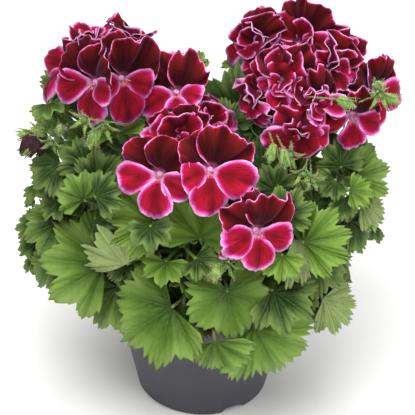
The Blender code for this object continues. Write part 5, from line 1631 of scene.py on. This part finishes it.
def fine_stem(name, made):
    """One leafy stem: stem, leaf stalks, blades, pedicels, calyces and buds."""
    surface = Surface()
    draw = random.Random(SEED + STEM_DRAWS + list(STEMS).index(name))
    foliage = bpy.context.scene.pelargonium.foliage
    line = curve_through(stem_points(name), 4)
    leafy_top = STEMS[name][1] * MM
    radii = []
    for i, point in enumerate(line):
        share = min(1, max(0, (point.z - SOIL_TOP) / (leafy_top - SOIL_TOP)))
        joint = 1 + JOINT_SWELL * math.exp(-((i % 5 - 2) ** 2))
        radii.append((STEM_RADIUS + (STALK_RADIUS - STEM_RADIUS) * share**2) * (joint if i > 4 else 0.96))
    surface.add(*fine_tube(line, radii, STEM_SIDES), STALK)
    hairs(surface, line[8:], radii[8:], foliage.hair * STEM_HAIR, draw, STEM_HAIR_SPACING)
    head = head_of(name)
    knob = [head + UP * z * KNOB_RADIUS for z, _ in KNOB]
    surface.add(*fine_tube(knob, [KNOB_RADIUS * r for _, r in KNOB], STEM_SIDES), STALK)
    bracts(surface, head, draw)
    for k, (kind, parts) in enumerate(made):
        if kind == "calyx":
            fine_calyx(surface, *parts, draw)
        elif kind == "bud":
            fine_bud(surface, *parts, draw)
            if (name, [each[0] for each in made[: k + 1]].count("bud")) in OPEN_BUDS:
                bud_petals(surface, *parts[1:], draw)
        else:
            leaf, stalk = parts
            over = leaf.name in TURNED_OVER
            vertices, faces, sides, veins, tones = fine_blade(leaf, foliage.thickness)
            slots = [UNDER_SIDE if side != over else UPPER_SIDE for side in map(bool, sides)]
            surface.add(vertices, faces, slots, veins=veins, blade=tones)
            surface.add(*fine_petiole(stalk), STALK)
    if name == "far_left":
        wilted_petals(surface, mm(WILTED), draw)
    materials = (
        stalk_material, leaf_material, leaf_under_material, sepal_material, hair_material, wilted_material,
        petal_material, petal_back_material,
    )
    return surface.make("foliage_" + name, materials, "leafy_stem_" + name)


def fine_petal(bloom, petal, ruffle, inner):
    """Rows of points of a petal from claw to margin, and what its colours follow at each point.

    Those are its place, its depth from the margin, and how high it lies in the folds. The petal is a fan
    round its claw with a rounded margin, ruffled in folds that widen outwards. One of an inner whorl
    stands above an outer petal.
    """
    draw = random.Random(bloom.seed * 10 + petal + PETAL_DRAWS + WHORL_DRAWS * inner)
    radial, side, along, face, length, half = bloom.petal_frame(petal)
    # An inner petal is turned, leans in and is smaller
    if inner:
        turn = Quaternion(bloom.forward, math.radians(draw.uniform(-50, 50)))
        turn = Quaternion(turn @ side, math.radians(draw.uniform(-15, 4 + 8 * inner))) @ turn
        radial, side, along, face = (turn @ way for way in (radial, side, along, face))
        length *= draw.uniform(*INNER_SIZES[inner - 1])
    upper = petal < 2
    ease = half / (bloom.length * PETALS[petal][2] / 2)
    wild = UNRULY.get(bloom.name, MOST_UNRULY)
    # An unruly petal is narrower, shorter, swung, curled and troughed, its folds and margin stronger
    fan = math.radians(FANS[petal] * (0.66 + 0.34 * ease)) * (1 - wild * draw.uniform(0, 0.3))
    fan *= 1.3 if inner else 1
    length *= (1 - wild * draw.uniform(0, 0.2)) * UPPER_LONGER**upper
    swing = Quaternion(face, math.radians(wild * draw.uniform(-9, 9)))
    swing = swing @ Quaternion(side, math.radians(wild * draw.uniform(-9, 14)))
    swing = swing @ Quaternion(along, math.radians(4 + wild * draw.uniform(-22, 22)))
    along, side, face = swing @ along, swing @ side, swing @ face
    curl = wild * (draw.uniform(-0.7, 0.5) if inner else draw.uniform(-0.15, 0.6))
    trough = wild * draw.choice((-0.4, 0.3, 0.5, 0.7)) * draw.uniform(0.6, 1) * (0.35 if inner else 1)
    folds = (UPPER_FOLDS if upper else LOWER_FOLDS)[: 2 if inner else 4]
    strong = ruffle * (1 + MOST_FRILL * wild) * (INNER_FRILL if inner else 1)
    folds = [
        (size * strong, turns * draw.uniform(0.85, 1.15), power, draw.uniform(0, 6))
        for size, turns, power in folds
    ]
    jagged = (0.35 + 0.65 * wild) * (1 if upper else 0.6) * (0.5 if inner else 1)
    waves = [
        (size * (jagged if turns < 20 else 1), turns, draw.uniform(0, 6)) for size, turns in MARGIN_WAVES
    ]
    outside = (1, -1, 0, 0, 0)[petal]
    columns = INNER_ACROSS if inner else PETAL_ACROSS[petal]
    steps = INNER_OUT if inner else PETAL_OUT
    start = bloom.throat + radial * THROAT_RADIUS * 0.8 - bloom.forward * (0.4 * MM if upper else 0)
    rows, charts, heights = [], [], []
    for i in range(steps):
        out = (i / (steps - 1)) ** 0.8
        row = []
        for k in range(columns + 1):
            across = math.sin(math.pi / 2 * (2 * k / columns - 1)) * FAN_END
            margin = (1 - abs(across) ** FAN_ROUND) ** (1 / FAN_ROUND)
            wave = sum(size * math.sin(turns * across + at) for size, turns, at in waves)
            reach = out * margin * (1 + wave)
            turn = fan * across
            # Across, along and up, against the petal's length
            x = reach * math.sin(turn) + CLAW_HALF_WIDTH / length * across * (1 - out) ** 2
            y = reach * math.cos(turn)
            z = PETAL_ARCH * math.sin(math.pi * reach) - PETAL_REFLEX * reach**2 - curl * reach**3
            z += ((0.10 if upper else -0.05) + trough) * reach * across**2 + PETALS[petal][4] * reach
            fold = [
                size * reach**power * math.sin(turns * across * fan + at) for size, turns, power, at in folds
            ]
            z += sum(fold)
            z -= (0.02 if upper else 0.09) * smooth((out - 0.8) / 0.2)
            lift = (LAYERS[petal] + INNER_STEP * inner) * smooth(reach * 3)
            if upper:
                lift += 1.6 * MM * outside * max(0, outside * across) * smooth(reach * 2)
            point = start + side * x * length + (along * y + face * z) * length + face * lift
            row.append(bloom.pressed(point, SLACK[petal]))
            # The depth from the margin joins the ways out and aside, in mm
            limit = min(FAN_END, (1 - min(1, reach) ** FAN_ROUND) ** (1 / FAN_ROUND))
            above = (1 - out) * margin * length / MM
            beside = max(0, reach * fan * (limit - abs(across))) * length / MM
            depth = above * beside / max(1e-6, math.hypot(above, beside))
            charts.append((reach, across / 2 + 0.5, min(1, depth / DEEPEST)))
            # How high it lies in the folds, for the painted shade of the valleys and painted light of the
            # ridges
            heights.append(0.5 + sum(fold[1:]) / FOLD_SHADE)
        rows.append(row)
    return rows, charts, heights


def fine_bloom(bloom):
    """One bloom: its ruffled petals, with inner ones if it is double, and the stamens in its throat."""
    petals = bpy.context.scene.pelargonium.petals
    surface = Surface()
    draw = random.Random(bloom.seed + BLOOM_DRAWS)
    tone = BRIGHT.get(bloom.name) or draw.uniform(*DUSKY)
    double = UNRULY.get(bloom.name, MOST_UNRULY) >= DOUBLE_FROM
    for petal, inner in [(k, 0) for k in range(5)] + [(k, w) for k, w in INNER_PETALS if double]:
        rows, charts, heights = fine_petal(bloom, petal, petals.ruffle, inner)
        vertices, faces, sides = sheet_grid(rows, petals.thickness)
        slots = [INSIDE if side else OUTSIDE for side in sides]
        kind = 0.4 if inner else 1.0 if petal < 2 else 0.0
        own = [(kind, tone, min(1, max(0, height))) for height in heights]
        surface.add(vertices, faces, slots, petal=charts * 2, bloom=own * 2)
    cup = [bloom.throat + bloom.forward * h * MM for h in (-0.6, -0.2, 0.1)]
    surface.add(*fine_tube(cup, [2.0 * MM, 2.1 * MM, 1.0 * MM], 16), OUTSIDE)
    for k in range(STAMENS // 2 if double else STAMENS):
        way = bloom.around(draw.uniform(110, 250) if k else 180)
        reach = draw.uniform(4.5, 7.5) * MM
        root = bloom.throat + way * 0.8 * MM
        line = [
            root + bloom.forward * reach * t + way * 3.2 * MM * t**2 - way * 2.4 * MM * t**4 * (k % 2)
            for t in (0, 0.2, 0.4, 0.6, 0.8, 1)
        ]
        radii = [FILAMENT_RADIUS * (1 - 0.3 * t / 5) for t in range(6)]
        surface.add(*fine_tube(line, radii, 6), FILAMENT)
        tip = line[-1]
        lean = (bloom.forward * draw.uniform(0.1, 0.6) + bloom.around(draw.uniform(0, 360))).normalized()
        ends = [tip + lean * ANTHER_LENGTH * t for t, _ in ANTHER]
        surface.add(*fine_tube(ends, [ANTHER_RADIUS * r for _, r in ANTHER], 8), POLLEN)
    materials = (petal_material, petal_back_material, filament_material, anther_material)
    return surface.make("petals_" + bloom.name, materials, "bloom_" + bloom.name)


def fine_pot():
    """The pot, turned with many faces, its drain holes and notches cut and its edges rounded."""
    segments = bpy.context.scene.pelargonium.pot.segments
    pot = turned("nursery_pot", pot_profile(), segments)
    cutters = []
    for k in range(DRAIN_HOLES):
        turn = 2 * math.pi * (k + 0.5) / DRAIN_HOLES
        centre = Vector((math.cos(turn), math.sin(turn), 0)) * DRAIN_CIRCLE
        ends = [centre + UP * (POT_RECESS - 1 * MM), centre + UP * (POT_FLOOR_TOP + 1 * MM)]
        cutters.append(tube(ends, [DRAIN_RADIUS] * 2, 32))
    width, depth, height = NOTCH_SIZE
    for azimuth in NOTCH_AZIMUTHS:
        out = direction(azimuth, 0)
        side = out.cross(UP)
        middle = out * (POT_FOOT_RADIUS - FOOT_RING_WIDTH / 2) - UP * 2 * MM
        arch = [(x / 8 - 1, math.sqrt(max(0, 1 - abs(x / 8 - 1) ** 4))) for x in range(17)]
        near = [middle + side * x * width / 2 + UP * (2 * MM + height) * z for x, z in arch]
        points = [p - out * depth / 2 for p in near] + [p + out * depth / 2 for p in near]
        count = len(near)
        faces = [(i, i + 1, i + 1 + count, i + count) for i in range(count - 1)]
        faces += [(count - 1, 0, count, 2 * count - 1), tuple(range(count - 1, -1, -1))]
        faces.append(tuple(range(count, 2 * count)))
        cutters.append((points, faces))
    cut(pot, cutters)
    bevel = pot.modifiers.new("rounded_edges", "BEVEL")
    bevel.width = FINE_EDGE
    bevel.segments = 3
    bevel.limit_method = "ANGLE"
    bevel.angle_limit = math.radians(35)
    bevel.harden_normals = True
    pot.data.shade_smooth()
    pot.data.materials.clear()
    pot.data.materials.append(plastic_material())
    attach(pot, "root")
    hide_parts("pot")
    return pot


def fine_compost():
    """The compost: a lumpy top with loose crumbs, and plain sides that the pot hides."""
    draw = random.Random(SEED + SOIL_DRAWS)
    surface = Surface()
    rings, around = SOIL_RINGS, SOIL_AROUND
    edge = wall_radius(SOIL_TOP) - GAP
    vertices = [Vector((0, 0, SOIL_TOP + 1 * MM))]
    for i in range(1, rings + 1):
        radius = edge * i / rings
        for k in range(around):
            turn = 2 * math.pi * k / around
            spot = Vector((math.cos(turn), math.sin(turn), 0)) * radius
            lumps = sum(noise.noise(spot * many) * height * MM for many, height in LUMPS)
            fade = 1 - smooth((i / rings - 0.85) / 0.15)
            vertices.append(spot + UP * (SOIL_TOP + (1 * MM + lumps) * fade))
    low = wall_radius(POT_FLOOR_TOP + GAP) - GAP
    for k in range(around):
        turn = 2 * math.pi * k / around
        vertices.append(Vector((math.cos(turn) * low, math.sin(turn) * low, POT_FLOOR_TOP + GAP)))
    faces = [(0, 1 + k, 1 + (k + 1) % around) for k in range(around)]
    for i in range(rings):
        for k in range(around):
            a, b = 1 + i * around + k, 1 + i * around + (k + 1) % around
            faces.append((a, a + around, b + around, b))
    faces.append(tuple(range(len(vertices) - 1, len(vertices) - around - 1, -1)))
    surface.add(vertices, faces, 0)
    feet = [Vector((x * MM, y * MM, 0)) for (x, y), _, _ in STEMS.values()]
    for _ in range(CRUMBS):
        turn, out = draw.uniform(0, 2 * math.pi), math.sqrt(draw.random()) * (edge - 3 * MM)
        spot = Vector((math.cos(turn) * out, math.sin(turn) * out, 0))
        if min((spot - foot).length for foot in feet) < CRUMB_CLEAR:
            continue
        size = draw.uniform(*CRUMB_RADIUS) * MM
        crumb = bmesh.new()
        bmesh.ops.create_icosphere(crumb, subdivisions=1, radius=size)
        for vertex in crumb.verts:
            vertex.co *= draw.uniform(0.7, 1.2)
            vertex.co.z *= 0.7
            vertex.co += spot + UP * (SOIL_TOP + 1.5 * MM)
        crumb.verts.index_update()
        surface.add(
            [v.co.copy() for v in crumb.verts], [tuple(v.index for v in f.verts) for f in crumb.faces], 0
        )
        crumb.free()
    return surface.make("compost_top", (peat_material,), "compost")


class PELARGONIUM_OT_pot(bpy.types.Operator):
    """Builds the nursery pot"""

    bl_idname = "pelargonium.pot"
    bl_label = "Pot"

    def execute(self, context):
        fine_pot()
        return {"FINISHED"}


class PELARGONIUM_OT_compost(bpy.types.Operator):
    """Builds the compost in the pot"""

    bl_idname = "pelargonium.compost"
    bl_label = "Compost"

    def execute(self, context):
        fine_compost()
        return {"FINISHED"}


class PELARGONIUM_OT_foliage(bpy.types.Operator):
    """Builds the leafy stems with their leaves, calyces and buds"""

    bl_idname = "pelargonium.foliage"
    bl_label = "Leafy stems"

    def execute(self, context):
        _, made = grown()
        for name in STEMS:
            fine_stem(name, made[name])
        return {"FINISHED"}


class PELARGONIUM_OT_blooms(bpy.types.Operator):
    """Builds the petals and stamens of every bloom"""

    bl_idname = "pelargonium.blooms"
    bl_label = "Blooms"

    def execute(self, context):
        blooms, _ = grown()
        for bloom in blooms:
            fine_bloom(bloom)
        return {"FINISHED"}


class PELARGONIUM_OT_stage(bpy.types.Operator):
    """Sets the floor, the soft studio light and the camera"""

    bl_idname = "pelargonium.stage"
    bl_label = "Studio"

    def execute(self, context):
        make_floor()
        make_lights()
        make_camera()
        return {"FINISHED"}


def make_floor():
    """A wide pale floor, level with the foot of the pot."""
    data = bpy.data.meshes.new("studio_floor")
    corners = ((-1, -1), (1, -1), (1, 1), (-1, 1))
    corners = [(x * FLOOR_REACH, y * FLOOR_REACH, FLOOR_LEVEL) for x, y in corners]
    data.from_pydata(corners, [], [(0, 1, 2, 3)])
    data.materials.append(floor_material())
    floor = bpy.data.objects.new("studio_floor", data)
    bpy.context.scene.collection.objects.link(floor)


def make_lights():
    """An even surround, a large soft light above left, and weaker ones right and behind."""
    bpy.context.scene.view_settings.view_transform = "Standard"
    world = bpy.data.worlds.new("studio_surround")
    bpy.context.scene.world = world
    world.use_nodes = True
    surround = world.node_tree.nodes["Background"]
    surround.inputs["Color"].default_value = (1, 1, 1, 1)
    surround.inputs["Strength"].default_value = SURROUND
    for name, place, size, power in LIGHTS:
        data = bpy.data.lights.new(name, "AREA")
        data.size = size
        data.energy = power
        light = bpy.data.objects.new(name, data)
        light.location = place
        light.rotation_mode = "QUATERNION"
        light.rotation_quaternion = (CAMERA_AIM - light.location).to_track_quat("-Z", "Y")
        bpy.context.scene.collection.objects.link(light)


def make_camera():
    """The camera, as the photo was taken."""
    data = bpy.data.cameras.new("photo_camera")
    data.lens = CAMERA_LENS
    data.sensor_width = 36
    camera = bpy.data.objects.new("photo_camera", data)
    bpy.context.scene.collection.objects.link(camera)
    bpy.context.scene.camera = camera
    look = -direction(0, CAMERA_ELEVATION)
    camera.location = CAMERA_AIM - look * CAMERA_DISTANCE
    camera.rotation_mode = "QUATERNION"
    roll = Quaternion(look, math.radians(CAMERA_ROLL))
    camera.rotation_quaternion = roll @ look.to_track_quat("-Z", "Y")


class PELARGONIUM_PT_panel(bpy.types.Panel):
    """The pelargonium's pieces and settings"""

    bl_label = "Pelargonium"
    bl_space_type = "VIEW_3D"
    bl_region_type = "UI"
    bl_category = "Pelargonium"

    def draw(self, context):
        settings = context.scene.pelargonium
        for group in (settings.pot, settings.foliage, settings.petals):
            box = self.layout.box()
            for name in group.bl_rna.properties.keys():
                if name not in ("rna_type", "name"):
                    box.prop(group, name)
        for operator in OPERATORS:
            self.layout.operator(operator.bl_idname)


OPERATORS = (
    PELARGONIUM_OT_pot,
    PELARGONIUM_OT_compost,
    PELARGONIUM_OT_foliage,
    PELARGONIUM_OT_blooms,
    PELARGONIUM_OT_stage,
)
SETTINGS = (PetalSettings, FoliageSettings, PotSettings, PelargoniumSettings)
CLASSES = (*SETTINGS, *OPERATORS, PELARGONIUM_PT_panel)


def register():
    for each in CLASSES:
        bpy.utils.register_class(each)
    bpy.types.Scene.pelargonium = PointerProperty(type=PelargoniumSettings)


def unregister():
    del bpy.types.Scene.pelargonium
    for each in reversed(CLASSES):
        bpy.utils.unregister_class(each)


def main():
    """Registers everything and builds each piece in order."""
    register()
    bpy.ops.pelargonium.pot()
    bpy.ops.pelargonium.compost()
    bpy.ops.pelargonium.foliage()
    bpy.ops.pelargonium.blooms()
    bpy.ops.pelargonium.stage()
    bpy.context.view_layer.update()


if __name__ == "__main__":
    main()
